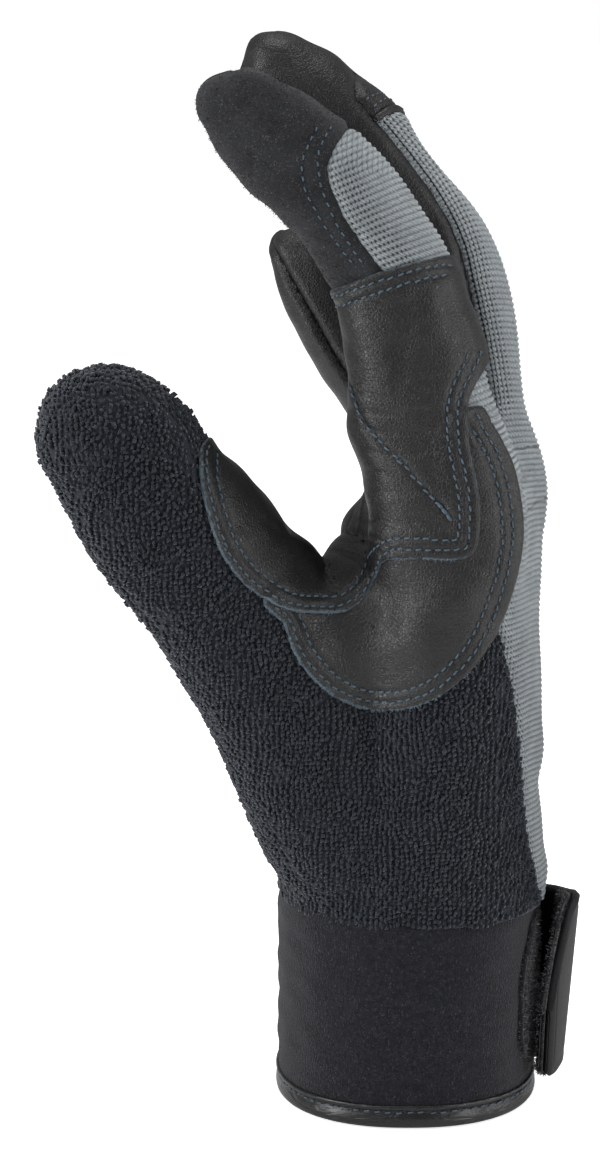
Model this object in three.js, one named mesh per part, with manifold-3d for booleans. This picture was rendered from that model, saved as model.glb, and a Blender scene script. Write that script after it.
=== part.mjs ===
// Rescue glove for a right hand, in millimetres, standing on its cuff with the fingers up.
// +Z runs up the forearm, +X is the back of the hand, -X the palm, and -Y the thumb side.
// The origin is the middle of the cuff's mouth.
import * as THREE from "three";
import { mergeVertices } from "three/addons/utils/BufferGeometryUtils.js";
import Module from "manifold-3d";

const wasm = await Module();
wasm.setup();

// Driving dimensions
const GLOVE_TOP = 243;
const CUFF_TOP = 46.7;
const CUFF_FOOT = 1.5;
const SEAM_HEIGHT = 47;
const CUFF_HALF_DEPTH = 29.5;
const CUFF_HALF_WIDTH = 36;
const CUFF_WALL = 3;
const SHELL_WALL = 2.2;
const OVERLAY_THICKNESS = 1.2;
const BINDING_THICKNESS = 1.2;
const BINDING_HEIGHT = 5.5;
const BINDING_ROUND = 0.7;
const TUCK = 1.4;
const TAB_THICKNESS = 1.8;
const HOOK_THICKNESS = 1.2;
const LOOP_THICKNESS = 1.2;
const GAP = 0.3;

// Facets round each part
const OUTER_SIDES = { hand: 26, thumb: 16, finger: 12 };
const INNER_SIDES = { hand: 18, thumb: 12, finger: 8 };
const CUFF_SIDES = 32;
const TIP_STEPS = [28, 56];
const ROUNDNESS = 2.25;

// Panel seams are drawn on the thumb-side view, from a viewpoint one metre away and a little above.
const VIEWPOINT = new THREE.Vector3(-24.4, -983.3, 301.6);
const SEAM_STEPS = 2;
// The depth, as y, at which each group of outlines is drawn.
const DRAWN_AT = { index: -44, grip: -40, saddle: -44, back: -35 };

// Planes and reaches outside the glove
const FAR_OUTSIDE = 130;
const NEAR_SIDE = -90;
const FAR_SIDE = 90;
const TIP_REACH = 20;
const CAP_REACH = 30;
const BACK_REACH = 40;

// Seams along the fingers, as distances from a finger's middle line towards the back
const SIDE_SEAM = 7;
const CAP_SEAM = 6;
const PALM_SEAM = -5;

// How far the pieces reach across the hand, as y
const SLEEVE_DEPTH = -28;
const WEB_DEPTH = -8;
const SADDLE_DEPTH = -12;
const INDEX_DEPTH = -26.2;
const BACK_SPLIT = 1;
const BAND_OVERLAP = 0.1;
const LITTLE_MIDDLE = 37.5;
const THUMB_DEPTH = -2;

// Heights at which the pieces between and under the fingers begin or end
const WEB_TOP = 150;
const FORK_FOOT = 130;
const LITTLE_FOOT = 118;

// Named rows from a short table.
const rows = (columns, ...lines) =>
  lines.map((line) => Object.fromEntries(columns.map((name, i) => [name, line[i]])));

// Sections: centre x, y, z, then half the thickness front to back and half the width across.
const SECTION = ["x", "y", "z", "thick", "wide"];
const HAND = rows(
  SECTION,
  [1.0, 0, 38.0, 30.2, 35.5],
  [1.6, 0, 47.0, 30.2, 36.0],
  [2.4, 0, 57.0, 29.2, 37.5],
  [3.6, 0, 70.0, 27.4, 40.5],
  [5.2, 0, 84.0, 25.6, 43.5],
  [6.8, 0, 98.0, 23.8, 46.0],
  [7.8, 0, 112.0, 22.0, 47.8],
  [8.8, 0, 125.0, 21.4, 48.5],
  [10.0, 0, 137.0, 19.8, 48.5],
  [9.6, 0, 147.0, 16.0, 46.5],
);
const THUMB = rows(
  SECTION,
  [-6.5, -8, 60.0, 19.0, 22.0],
  [-14.2, -14, 70.6, 21.0, 24.5],
  [-26.4, -22, 100.4, 20.8, 21.5],
  [-40.4, -30, 121.4, 18.2, 17.5],
  [-49.6, -36, 133.1, 17.8, 15.5],
  [-57.4, -39, 143.8, 17.6, 14.6],
  [-62.2, -41, 152.6, 17.7, 14.2],
  [-65.0, -42, 157.2, 16.8, 13.6],
);
// The web of skin between thumb and index finger.
const WEB = rows(
  SECTION,
  [0.0, -22, 88.0, 12.0, 12.0],
  [-5.0, -23, 108.0, 15.0, 17.0],
  [-8.5, -23, 120.5, 13.5, 16.5],
);
const INDEX = rows(
  SECTION,
  [9.0, -36, 108.0, 10.0, 7.0],
  [9.0, -37, 128.0, 16.0, 11.4],
  [7.6, -37, 146.0, 16.4, 12.5],
  [1.8, -37, 167.0, 14.2, 12.2],
  [-3.2, -37, 189.7, 12.9, 12.0],
  [-8.4, -37, 199.0, 12.8, 11.8],
  [-14.7, -37, 208.1, 12.9, 11.6],
  [-22.2, -37, 216.0, 12.3, 11.2],
  [-29.8, -37, 221.8, 11.9, 10.8],
  [-37.0, -37, 227.2, 10.4, 9.6],
);
const MIDDLE = rows(
  SECTION,
  [15.0, -11.5, 112.0, 9.0, 9.0],
  [17.0, -11.5, 139.0, 13.9, 12.0],
  [12.2, -11.5, 158.2, 13.8, 12.0],
  [10.0, -11.5, 179.9, 13.3, 12.0],
  [5.5, -11.5, 193.8, 12.9, 11.9],
  [-2.5, -11.5, 205.5, 12.2, 11.6],
  [-9.8, -11.5, 218.1, 11.5, 11.3],
  [-21.1, -11.5, 228.0, 11.2, 10.6],
  [-29.4, -11.5, 233.4, 10.2, 9.6],
);
const RING = rows(
  SECTION,
  [14.0, 13.5, 108.0, 9.0, 9.0],
  [16.5, 13.5, 132.4, 13.3, 11.8],
  [11.1, 13.5, 152.2, 13.3, 11.8],
  [7.5, 13.5, 172.9, 13.0, 11.8],
  [1.8, 13.5, 188.9, 12.5, 11.6],
  [-7.4, 13.5, 202.6, 12.0, 11.2],
  [-17.6, 13.5, 212.8, 11.3, 10.6],
  [-25.8, 13.5, 217.8, 9.8, 9.2],
);
const LITTLE = rows(
  SECTION,
  [10.0, 36.0, 96.0, 9.0, 7.0],
  [11.4, 37.5, 121.2, 12.3, 11.0],
  [6.1, 37.5, 137.9, 11.7, 11.0],
  [-2.2, 37.5, 154.5, 11.2, 10.9],
  [-10.6, 37.5, 166.3, 10.8, 10.6],
  [-17.6, 37.5, 178.6, 10.6, 10.2],
  [-22.4, 37.5, 186.6, 9.8, 9.4],
);
// How far each rounded end stands past its last section.
const TIP = { hand: 9, thumb: 16.5, web: 10, index: 9, middle: 9.5, ring: 8, little: 9.5 };

// Fingers with the band of y that each one's seams are cut in, and the length of its leather tip.
const FINGERS = [
  { name: "index", path: INDEX, near: NEAR_SIDE, far: -24.2 },
  { name: "middle", path: MIDDLE, near: -24.3, far: 1.0, cap: 24 },
  { name: "ring", path: RING, near: 0.9, far: 25.6, cap: 22 },
  { name: "little", path: LITTLE, near: 25.5, far: FAR_SIDE, cap: 18 },
];

// Panel outlines in the side view, as x and z where the seam lies.
const SIDE = ["x", "z"];
const GRIP_OUTLINE = rows(
  SIDE,
  [-45, 157],
  [-46.5, 150.5],
  [-45, 141.5],
  [-42, 132.5],
  [-37.5, 126],
  [-32.5, 122],
  [-27, 119.2],
  [-20, 118.3],
  [-14, 119],
  [-9.5, 122.2],
  [-6.5, 127],
  [-4.5, 130.7],
  [3, 131],
  [10.5, 130.9],
  [14, 134],
  [14.2, 144.5],
  [11.8, 157],
  [12, 166],
  [16.3, 176],
  [14, 184],
  [9.6, 196],
  [2, 196],
  [-7, 193.5],
  [-15, 190.6],
  [-26, 186],
  [-30, 170],
  [-34, 163],
);
const SADDLE_OUTLINE = rows(
  SIDE,
  [-32, 124],
  [-28.2, 117],
  [-25, 109],
  [-18, 101.5],
  [-10, 98.2],
  [-2, 98.1],
  [6, 101],
  [13, 107.2],
  [18.2, 115.5],
  [22, 126.5],
  [23.5, 138],
  [21.5, 151],
  [17, 160.5],
  [13, 165],
  [2, 158],
  [-14, 140],
);
// Back panel's edge on the thumb side, from the cuff to the index knuckle.
const BACK_EDGE = rows(
  SIDE,
  [31.5, 44],
  [28.6, 56],
  [25.8, 69],
  [24.6, 84],
  [23.6, 94],
  [21.6, 106],
  [18.8, 116],
  [14.5, 130],
  [9, 146],
);
const BACK_OUTSIDE = rows(SIDE, [60, 150], [60, 40]);
// The same edge on the far side, where it runs straight.
const BACK_EDGE_FAR = rows(SIDE, [13, 40], [13, 130], [SIDE_SEAM, 150]);
// The grey oval over the index finger's top joint, with the seam down to the sleeve.
const KNIT_OVAL = rows(
  SIDE,
  [-14.2, 224.6],
  [-17.2, 220],
  [-18.6, 216.5],
  [-18, 212.5],
  [-15, 205.5],
  [-11, 199.6],
  [-5, 192],
  [-1, 182],
  [2, 168],
  [5, 152],
  [9, 146],
);
const KNIT_OUTSIDE = rows(SIDE, [45, 150], [45, 190], [14, 215], [-4, 232]);
// The suede tip of the index finger, down to a foot that the sleeve covers.
const INDEX_CAP = rows(
  SIDE,
  [-40, 178],
  [-12, 180],
  [30, 183],
  [60, 200],
  [0, 260],
  [-90, 260],
  [-90, 200],
);
// From under the index finger round the crotch to past the thumb, with what closes it above and below.
const CROTCH_EDGE = rows(SIDE, [-8, 116], [-15.5, 119], [-17.5, 128], [-34, 152], [-48, 182], [-120, 182]);
const OVER_CROTCH = rows(SIDE, [-120, 260], [60, 260], [60, 116]);
const UNDER_CROTCH = rows(SIDE, [-120, 30], [40, 30], [40, 116]);
// The crease across the palm where towelling meets leather, with what closes it on the far side.
const ACROSS = ["y", "z"];
const PALM_CREASE = rows(ACROSS, [9, 30], [9, 60], [6, 80], [-3, 98], [-17, 110], [-30, 117]);
const CREASE_OUTSIDE = rows(ACROSS, [-30, 150], [90, 150], [90, 30]);

// Closure tab, from its sewn root to its lifted end: x and y in plan, lowest and highest z, and how
// far x moves for each millimetre up from the tab's middle.
const TAB = rows(
  ["x", "y", "low", "high", "lean"],
  [19.9, 28.6, 11, 40, 0],
  [27.2, 22.3, 11, 42, 0.02],
  [33.0, 14.5, 10, 44.6, 0.04],
  [36.4, 6, 9, 46.6, 0.05],
  [37.3, -1, 8, 47.4, 0.05],
  [36.6, -8, 6.5, 47.3, 0.05],
  [34.8, -14, 5.6, 45, 0.05],
  [32.8, -18.5, 6.6, 37, 0.05],
  [31.6, -21.2, 10, 28, 0.05],
);
const TAB_MIDDLE = 26;
// The hook tape begins at this place along the tab, and stays this far inside its edge.
const HOOK_FROM = 3;
const HOOK_INSET = 0.8;
// Pile patch: place round the cuff in degrees from the back, then lowest and highest z.
const LOOP = rows(
  ["turn", "low", "high"],
  [-34, 17, 27],
  [-31.5, 13, 33],
  [-27, 11, 37],
  [-20, 9.5, 41],
  [-8, 9, 43],
  [6, 9, 43.5],
  [20, 9, 43.5],
  [33, 10, 42.5],
);

const MATERIALS = {
  cuff: { color: 0x1f2024, roughness: 0.9 },
  binding: { color: 0x17181a, roughness: 0.45 },
  tab: { color: 0x2a2b2d, roughness: 0.5 },
  hook: { color: 0x121212, roughness: 0.8 },
  loop: { color: 0x17181b, roughness: 1 },
  terry: { color: 0x22252b, roughness: 1 },
  leather: { color: 0x262626, roughness: 0.5 },
  suede: { color: 0x2c2d2f, roughness: 0.95 },
  knit: { color: 0x7b8588, roughness: 0.9 },
};

// A closed mesh from vertices and triangles, as a solid that can be cut and joined.
function solid(points, triangles) {
  const corners = new Float32Array(triangles.flat().flatMap((i) => points[i].toArray()));
  const geometry = new THREE.BufferGeometry();
  geometry.setAttribute("position", new THREE.BufferAttribute(corners, 3));
  const merged = mergeVertices(geometry, 1e-4);
  const mesh = new wasm.Mesh({
    numProp: 3,
    vertProperties: merged.attributes.position.array,
    triVerts: new Uint32Array(merged.index.array),
  });
  return new wasm.Manifold(mesh);
}

// Joins closed rings of points into a skin, with a fan of triangles over each end.
function skin(rings, startPole, endPole) {
  const sides = rings[0].length;
  const points = rings.flat();
  const triangles = [];
  for (let r = 0; r + 1 < rings.length; r++) {
    for (let i = 0; i < sides; i++) {
      const a = r * sides + i;
      const b = r * sides + ((i + 1) % sides);
      triangles.push([a, b, b + sides], [a, b + sides, a + sides]);
    }
  }
  points.push(startPole, endPole);
  const last = (rings.length - 1) * sides;
  for (let i = 0; i < sides; i++) {
    const j = (i + 1) % sides;
    triangles.push([points.length - 2, j, i]);
    triangles.push([points.length - 1, last + i, last + j]);
  }
  return solid(points, triangles);
}

const centre = (station) => new THREE.Vector3(station.x, station.y, station.z);
const power = (value, exponent) => Math.sign(value) * Math.abs(value) ** exponent;

// The direction of a path at a station, with the two axes of its section.
function frameAt(path, index) {
  const before = centre(path[Math.max(index - 1, 0)]);
  const after = centre(path[Math.min(index + 1, path.length - 1)]);
  const along = after.sub(before).normalize();
  const across = new THREE.Vector3(0, 1, 0).addScaledVector(along, -along.y).normalize();
  const outward = new THREE.Vector3().crossVectors(across, along);
  return { along, across, outward };
}

// One rounded section of a limb, with its half sizes scaled and shifted along the limb.
function section(station, frame, sides, grow, shrink, shift) {
  const ring = [];
  for (let i = 0; i < sides; i++) {
    const angle = ((i + 0.5) / sides) * 2 * Math.PI;
    const thick = (station.thick + grow) * shrink * power(Math.cos(angle), 2 / ROUNDNESS);
    const wide = (station.wide + grow) * shrink * power(Math.sin(angle), 2 / ROUNDNESS);
    const point = centre(station).addScaledVector(frame.along, shift);
    ring.push(point.addScaledVector(frame.outward, thick).addScaledVector(frame.across, wide));
  }
  return ring;
}

// A limb of the glove: rounded sections along a path, closed by a rounded end.
function limb(path, tip, sides, grow) {
  const rings = path.map((station, i) => section(station, frameAt(path, i), sides, grow, 1, 0));
  const end = path[path.length - 1];
  const frame = frameAt(path, path.length - 1);
  for (const step of TIP_STEPS) {
    const angle = THREE.MathUtils.degToRad(step);
    rings.push(section(end, frame, sides, grow, Math.cos(angle), (tip + grow) * Math.sin(angle)));
  }
  const pole = centre(end).addScaledVector(frame.along, tip + grow);
  return skin(rings, centre(path[0]), pole);
}

// A box between two corners.
function boxBetween(low, high) {
  const size = high.clone().sub(low);
  return wasm.Manifold.cube(size.toArray()).translate(low.toArray());
}

// The whole hand as one body, grown or shrunk all round by the same amount.
function handBody(grow, sides) {
  const limbs = [
    limb(HAND, TIP.hand, sides.hand, grow),
    limb(THUMB, TIP.thumb, sides.thumb, grow),
    limb(WEB, TIP.web, sides.finger, grow),
    ...FINGERS.map((finger) => limb(finger.path, TIP[finger.name], sides.finger, grow)),
  ];
  return limbs.reduce((whole, next) => whole.add(next));
}

// Everything over a height.
const above = (height) =>
  boxBetween(
    new THREE.Vector3(-FAR_OUTSIDE, -FAR_OUTSIDE, height),
    new THREE.Vector3(FAR_OUTSIDE, FAR_OUTSIDE, GLOVE_TOP + FAR_OUTSIDE),
  );

// Turns a flat outline, moved to a near and a far plane, into a closed block.
function block(outline, toNear, toFar) {
  const turned = THREE.ShapeUtils.isClockWise(outline) ? [...outline].reverse() : outline;
  const faces = THREE.ShapeUtils.triangulateShape(turned, []);
  const count = turned.length;
  const points = [...turned.map(toNear), ...turned.map(toFar)];
  const triangles = [];
  for (const [a, b, c] of faces) triangles.push([a, b, c], [a + count, c + count, b + count]);
  for (let i = 0; i < count; i++) {
    const j = (i + 1) % count;
    triangles.push([i, i + count, j + count], [i, j + count, j]);
  }
  const made = solid(points, triangles);
  return made.volume() > 0 ? made : solid(points, triangles.map(([a, b, c]) => [a, c, b]));
}

// Moves each corner of a closed outline outwards.
function grown(outline, amount) {
  const outwards = THREE.ShapeUtils.isClockWise(outline) ? -amount : amount;
  return outline.map((point, i) => {
    const before = outline[(i + outline.length - 1) % outline.length];
    const after = outline[(i + 1) % outline.length];
    const along = new THREE.Vector2().subVectors(after, before).normalize();
    return new THREE.Vector2(point.x + along.y * outwards, point.y - along.x * outwards);
  });
}

// A flat outline from one or more tables.
const flat = (...tables) => tables.flat().map((row) => new THREE.Vector2(row.x ?? row.y, row.z));

// A smooth closed outline through a table's points.
function smooth(table) {
  const curve = new THREE.SplineCurve([...flat(table), ...flat(table.slice(0, 1))]);
  return curve.getPoints(table.length * SEAM_STEPS).slice(0, -1);
}

// A block along the lines of sight from the viewpoint, drawn at one depth and cut between two others.
function sightBlock(outline, drawnAt, near, far) {
  const at = (depth) => (point) => {
    const ray = new THREE.Vector3(point.x, drawnAt, point.y).sub(VIEWPOINT);
    return VIEWPOINT.clone().addScaledVector(ray, (depth - VIEWPOINT.y) / (drawnAt - VIEWPOINT.y));
  };
  return block(outline, at(near), at(far));
}

// A block with an outline in X and Z, running straight along Y.
const sideBlock = (outline, near, far) =>
  block(
    outline,
    (point) => new THREE.Vector3(point.x, near, point.y),
    (point) => new THREE.Vector3(point.x, far, point.y),
  );

// A line beside a finger's middle line, at a distance towards the back, and on past the finger's end.
function besideFinger(path, first, distance, reach) {
  const line = path.slice(first).map((station, i) => {
    const { outward } = frameAt(path, i + first);
    return new THREE.Vector2(station.x + outward.x * distance, station.z + outward.z * distance);
  });
  const { along } = frameAt(path, path.length - 1);
  const beyond = new THREE.Vector2(along.x, along.z).multiplyScalar(reach);
  line.push(beyond.add(line[line.length - 1]));
  return line;
}

// The strip of a finger between two distances from its middle line, from a height to past its end.
function fingerStrip(path, from, to, near, far, grow, startAt) {
  const first = path.findIndex((station) => station.z >= startAt);
  const low = besideFinger(path, first, from - grow, TIP_REACH);
  const high = besideFinger(path, first, to + grow, TIP_REACH);
  return sideBlock([...low, ...high.reverse()], near, far);
}

// The largest body of a cut solid, without the slivers that a cut can leave.
function mainBody(cut) {
  const bodies = cut.decompose();
  return bodies.reduce((largest, next) => (next.volume() > largest.volume() ? next : largest));
}

// The hollow hand above the cuff, which the panels are cut from one after another.
const outside = handBody(0, OUTER_SIDES).intersect(above(SEAM_HEIGHT));
const shell = { rest: outside.subtract(handBody(-SHELL_WALL, INNER_SIDES)) };

// Cuts one panel from the shell and leaves a seam's gap round it.
function cutPanel(makeCutter) {
  const panel = shell.rest.intersect(makeCutter(-GAP / 2));
  shell.rest = shell.rest.subtract(makeCutter(GAP / 2));
  return mainBody(panel);
}

const fingerNamed = (name) => FINGERS.find((finger) => finger.name === name);

// A piece of the index finger, which stops short of the finger's far side.
function indexCutter(outline, grow) {
  return sightBlock(grown(outline, grow), DRAWN_AT.index, NEAR_SIDE, INDEX_DEPTH + grow);
}

// The leather tip on the back of a finger, from its hem to the end.
function capCutter(name, grow) {
  const { path, near, far, cap } = fingerNamed(name);
  const end = centre(path[path.length - 1]);
  const first = path.findIndex((station) => centre(station).distanceTo(end) < cap);
  const { along } = frameAt(path, first);
  const spare = cap - centre(path[first]).distanceTo(end);
  const hem = new THREE.Vector2(along.x, along.z).multiplyScalar(-spare - grow);
  const low = besideFinger(path, first, CAP_SEAM - grow, CAP_REACH);
  const high = besideFinger(path, first, CAP_REACH, CAP_REACH);
  low[0].add(hem);
  high[0].add(hem);
  return sideBlock([...low, ...high.reverse()], near, far);
}

// Everything on the back of the hand: a strip for each finger and the region behind the thumb-side seam.
function backCutter(grow) {
  const nearEdge = grown(flat(BACK_EDGE, BACK_OUTSIDE), grow);
  const farEdge = grown(flat(BACK_EDGE_FAR, BACK_OUTSIDE), grow);
  const strips = ["middle", "ring", "little"].map((name) => {
    const { path, near, far } = fingerNamed(name);
    return fingerStrip(path, SIDE_SEAM, BACK_REACH, near, far, grow, FORK_FOOT);
  });
  const parts = [
    sightBlock(nearEdge, DRAWN_AT.back, NEAR_SIDE, BACK_SPLIT),
    sideBlock(farEdge, BACK_SPLIT - BAND_OVERLAP, FAR_SIDE),
    ...strips,
    fingerStrip(LITTLE, 0, BACK_REACH, LITTLE_MIDDLE, FAR_SIDE, grow, LITTLE_FOOT),
  ];
  return parts.reduce((whole, next) => whole.add(next));
}

// The facing sides of two neighbouring fingers, with the fork between them.
function forkCutter(nearName, farName, grow) {
  const near = fingerNamed(nearName);
  const far = fingerNamed(farName);
  const facing = (path, from, to) =>
    fingerStrip(path, PALM_SEAM, SIDE_SEAM, from, to, grow, FORK_FOOT);
  const first = facing(near.path, near.path[0].y - grow, near.far);
  return first.add(facing(far.path, near.far - BAND_OVERLAP, far.path[0].y + grow));
}

// The palm and the fronts of the fingers, with the palm's leather below the crease.
function palmCutter(grow) {
  const crease = grown(flat(PALM_CREASE, CREASE_OUTSIDE), grow);
  const lower = block(
    crease,
    (point) => new THREE.Vector3(-FAR_OUTSIDE, point.x, point.y),
    (point) => new THREE.Vector3(FAR_OUTSIDE, point.x, point.y),
  );
  const thumb = sideBlock(flat(CROTCH_EDGE, UNDER_CROTCH), NEAR_SIDE, THUMB_DEPTH);
  const upper = sideBlock(grown(flat(CROTCH_EDGE, OVER_CROTCH), grow), NEAR_SIDE, FAR_SIDE);
  return upper.add(lower.subtract(thumb));
}

const solids = {};
solids.fourchette_index_middle = cutPanel((grow) => forkCutter("index", "middle", grow));
solids.fourchette_middle_ring = cutPanel((grow) => forkCutter("middle", "ring", grow));
solids.fourchette_ring_little = cutPanel((grow) => forkCutter("ring", "little", grow));
solids.index_knit = cutPanel((grow) => indexCutter(flat(KNIT_OVAL, KNIT_OUTSIDE), grow));
solids.index_cap = cutPanel((grow) => indexCutter(flat(INDEX_CAP), grow));
solids.middle_cap = cutPanel((grow) => capCutter("middle", grow));
solids.ring_cap = cutPanel((grow) => capCutter("ring", grow));
solids.little_cap = cutPanel((grow) => capCutter("little", grow));
solids.back_panel = cutPanel(backCutter);
solids.palm_panel = cutPanel(palmCutter);
solids.terry_panel = mainBody(shell.rest);

// The grip patch: its sleeve on the index finger, and the part over the web between finger and thumb.
function gripCutter(grow) {
  const outline = grown(smooth(GRIP_OUTLINE), grow);
  const sleeve = sightBlock(outline, DRAWN_AT.grip, NEAR_SIDE, SLEEVE_DEPTH);
  const underFinger = boxBetween(
    new THREE.Vector3(-FAR_OUTSIDE, NEAR_SIDE, 0),
    new THREE.Vector3(FAR_OUTSIDE, WEB_DEPTH, WEB_TOP),
  );
  const web = sightBlock(outline, DRAWN_AT.grip, NEAR_SIDE, WEB_DEPTH).intersect(underFinger);
  return sleeve.add(web);
}

// A skin that lies just over the hand, which the two sewn-on patches are cut from.
const overlay = handBody(GAP + OVERLAY_THICKNESS, OUTER_SIDES).subtract(handBody(GAP, OUTER_SIDES));
const saddleBlock = sightBlock(smooth(SADDLE_OUTLINE), DRAWN_AT.saddle, NEAR_SIDE, SADDLE_DEPTH);
solids.grip_patch = mainBody(overlay.intersect(gripCutter(0)));
solids.saddle_patch = mainBody(overlay.intersect(saddleBlock).subtract(gripCutter(GAP)));

// A point on the cuff's oval, moved outwards, at an angle from the back of the hand.
function onCuff(angle, offset, z) {
  const base = new THREE.Vector3(CUFF_HALF_DEPTH * Math.cos(angle), CUFF_HALF_WIDTH * Math.sin(angle), z);
  const outward = new THREE.Vector3(
    Math.cos(angle) / CUFF_HALF_DEPTH,
    Math.sin(angle) / CUFF_HALF_WIDTH,
    0,
  ).normalize();
  return base.addScaledVector(outward, offset);
}

// A band that runs round the cuff's oval with the same closed profile everywhere.
function cuffBand(profile) {
  const points = [];
  const triangles = [];
  const count = profile.length;
  for (let i = 0; i < CUFF_SIDES; i++) {
    const angle = ((i + 0.5) / CUFF_SIDES) * 2 * Math.PI;
    for (const { out, z } of profile) points.push(onCuff(angle, out, z));
    for (let k = 0; k < count; k++) {
      const a = i * count + k;
      const b = i * count + ((k + 1) % count);
      const c = (((i + 1) % CUFF_SIDES) * count) + ((k + 1) % count);
      const d = (((i + 1) % CUFF_SIDES) * count) + k;
      triangles.push([a, d, c], [a, c, b]);
    }
  }
  return solid(points, triangles);
}

const BAND = ["out", "z"];
const inner = -CUFF_WALL;
const lip = GAP + BINDING_THICKNESS;
solids.cuff = cuffBand(
  rows(
    BAND,
    [-TUCK, CUFF_FOOT],
    [-TUCK, BINDING_HEIGHT + GAP],
    [0, BINDING_HEIGHT + 2 * TUCK],
    [0, CUFF_TOP],
    [inner, CUFF_TOP],
    [inner, CUFF_FOOT],
  ),
);
solids.cuff_binding = cuffBand(
  rows(
    BAND,
    [lip - TUCK - BINDING_ROUND, 0],
    [lip - TUCK, BINDING_ROUND],
    [lip - TUCK, BINDING_HEIGHT],
    [GAP - TUCK, BINDING_HEIGHT],
    [GAP - TUCK, CUFF_FOOT - GAP],
    [inner - GAP, CUFF_FOOT - GAP],
    [inner - GAP, BINDING_HEIGHT],
    [inner - lip, BINDING_HEIGHT],
    [inner - lip, BINDING_ROUND],
    [inner - lip + BINDING_ROUND, 0],
  ),
);

// A bent strip with four corners at each place along it.
function strip(corners) {
  const points = corners.flat();
  const triangles = [[0, 2, 1], [0, 3, 2]];
  for (let i = 0; i + 1 < corners.length; i++) {
    for (let k = 0; k < 4; k++) {
      const a = i * 4 + k;
      const b = i * 4 + ((k + 1) % 4);
      triangles.push([a, b, b + 4], [a, b + 4, a + 4]);
    }
  }
  const last = (corners.length - 1) * 4;
  triangles.push([last, last + 1, last + 2], [last, last + 2, last + 3]);
  const made = solid(points, triangles);
  return made.volume() > 0 ? made : solid(points, triangles.map(([a, b, c]) => [a, c, b]));
}

// The closure tab's shape at a distance inside or outside its middle surface.
function tabStrip(from, to, inset, first) {
  const places = TAB.map((row, i) => {
    const before = TAB[Math.max(i - 1, 0)];
    const after = TAB[Math.min(i + 1, TAB.length - 1)];
    const outward = new THREE.Vector3(before.y - after.y, after.x - before.x, 0).normalize();
    const corner = (offset, z) =>
      new THREE.Vector3(row.x + row.lean * (z - TAB_MIDDLE), row.y, z).addScaledVector(outward, offset);
    const low = row.low + inset;
    const high = row.high - inset;
    return [corner(from, low), corner(from, high), corner(to, high), corner(to, low)];
  });
  return strip(places.slice(first));
}

solids.closure_tab = tabStrip(-TAB_THICKNESS / 2, TAB_THICKNESS / 2, 0, 0);
const hookOut = -TAB_THICKNESS / 2 - GAP;
solids.hook_tape = tabStrip(hookOut - HOOK_THICKNESS, hookOut, HOOK_INSET, HOOK_FROM);
solids.loop_patch = strip(
  LOOP.map(({ turn, low, high }) => {
    const angle = THREE.MathUtils.degToRad(turn);
    return [
      onCuff(angle, GAP, low),
      onCuff(angle, GAP, high),
      onCuff(angle, GAP + LOOP_THICKNESS, high),
      onCuff(angle, GAP + LOOP_THICKNESS, low),
    ];
  }),
);

const MADE_OF = {
  cuff: "cuff",
  cuff_binding: "binding",
  closure_tab: "tab",
  hook_tape: "hook",
  loop_patch: "loop",
  terry_panel: "terry",
  palm_panel: "leather",
  back_panel: "knit",
  index_knit: "knit",
  index_cap: "suede",
  middle_cap: "leather",
  ring_cap: "leather",
  little_cap: "leather",
  fourchette_index_middle: "leather",
  fourchette_middle_ring: "leather",
  fourchette_ring_little: "leather",
  grip_patch: "leather",
  saddle_patch: "leather",
};

// A named mesh from a finished solid.
function piece(name) {
  const { numProp, vertProperties, triVerts } = solids[name].getMesh();
  const points = new Float32Array((vertProperties.length / numProp) * 3);
  for (let i = 0; i * numProp < vertProperties.length; i++) {
    points.set(vertProperties.subarray(i * numProp, i * numProp + 3), i * 3);
  }
  const geometry = new THREE.BufferGeometry();
  geometry.setAttribute("position", new THREE.BufferAttribute(points, 3));
  geometry.setIndex(new THREE.BufferAttribute(new Uint32Array(triVerts), 1));
  geometry.computeVertexNormals();
  const material = new THREE.MeshStandardMaterial({ ...MATERIALS[MADE_OF[name]], metalness: 0 });
  const mesh = new THREE.Mesh(geometry, material);
  mesh.name = name;
  return mesh;
}

const glove = new THREE.Group();
for (const name of Object.keys(MADE_OF)) glove.add(piece(name));

export default glove;
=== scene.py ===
"""Looks of a rescue glove for a right hand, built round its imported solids.

The glove stands on its cuff. +Z runs up the forearm, +X is the back of the hand and -Y is the
thumb side. Tables and shapes are in millimetres, and meshes are written in metres.
"""
import logging
import math
from dataclasses import dataclass, field, replace
from enum import Enum
from typing import NamedTuple, Sequence

import bpy
import numpy as np
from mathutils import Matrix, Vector
from mathutils.bvhtree import BVHTree
from mathutils.kdtree import KDTree


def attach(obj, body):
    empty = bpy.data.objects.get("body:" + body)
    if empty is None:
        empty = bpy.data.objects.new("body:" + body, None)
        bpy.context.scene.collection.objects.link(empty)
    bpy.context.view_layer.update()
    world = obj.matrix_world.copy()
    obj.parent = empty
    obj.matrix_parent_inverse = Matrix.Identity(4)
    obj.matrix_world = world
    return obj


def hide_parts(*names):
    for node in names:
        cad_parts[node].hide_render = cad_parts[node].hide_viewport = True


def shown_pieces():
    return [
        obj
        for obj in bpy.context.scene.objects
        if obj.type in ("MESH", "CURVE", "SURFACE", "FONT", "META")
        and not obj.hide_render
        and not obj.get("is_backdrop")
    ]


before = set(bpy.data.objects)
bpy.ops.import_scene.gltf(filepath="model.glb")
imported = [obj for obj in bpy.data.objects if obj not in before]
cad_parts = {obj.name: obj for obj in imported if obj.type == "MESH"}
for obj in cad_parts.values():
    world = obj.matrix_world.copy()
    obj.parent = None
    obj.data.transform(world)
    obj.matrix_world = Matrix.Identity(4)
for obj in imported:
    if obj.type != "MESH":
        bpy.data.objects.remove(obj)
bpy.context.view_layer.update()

Array = np.ndarray
Material = bpy.types.Material
NodeTree = bpy.types.NodeTree
Socket = bpy.types.NodeSocket
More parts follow.
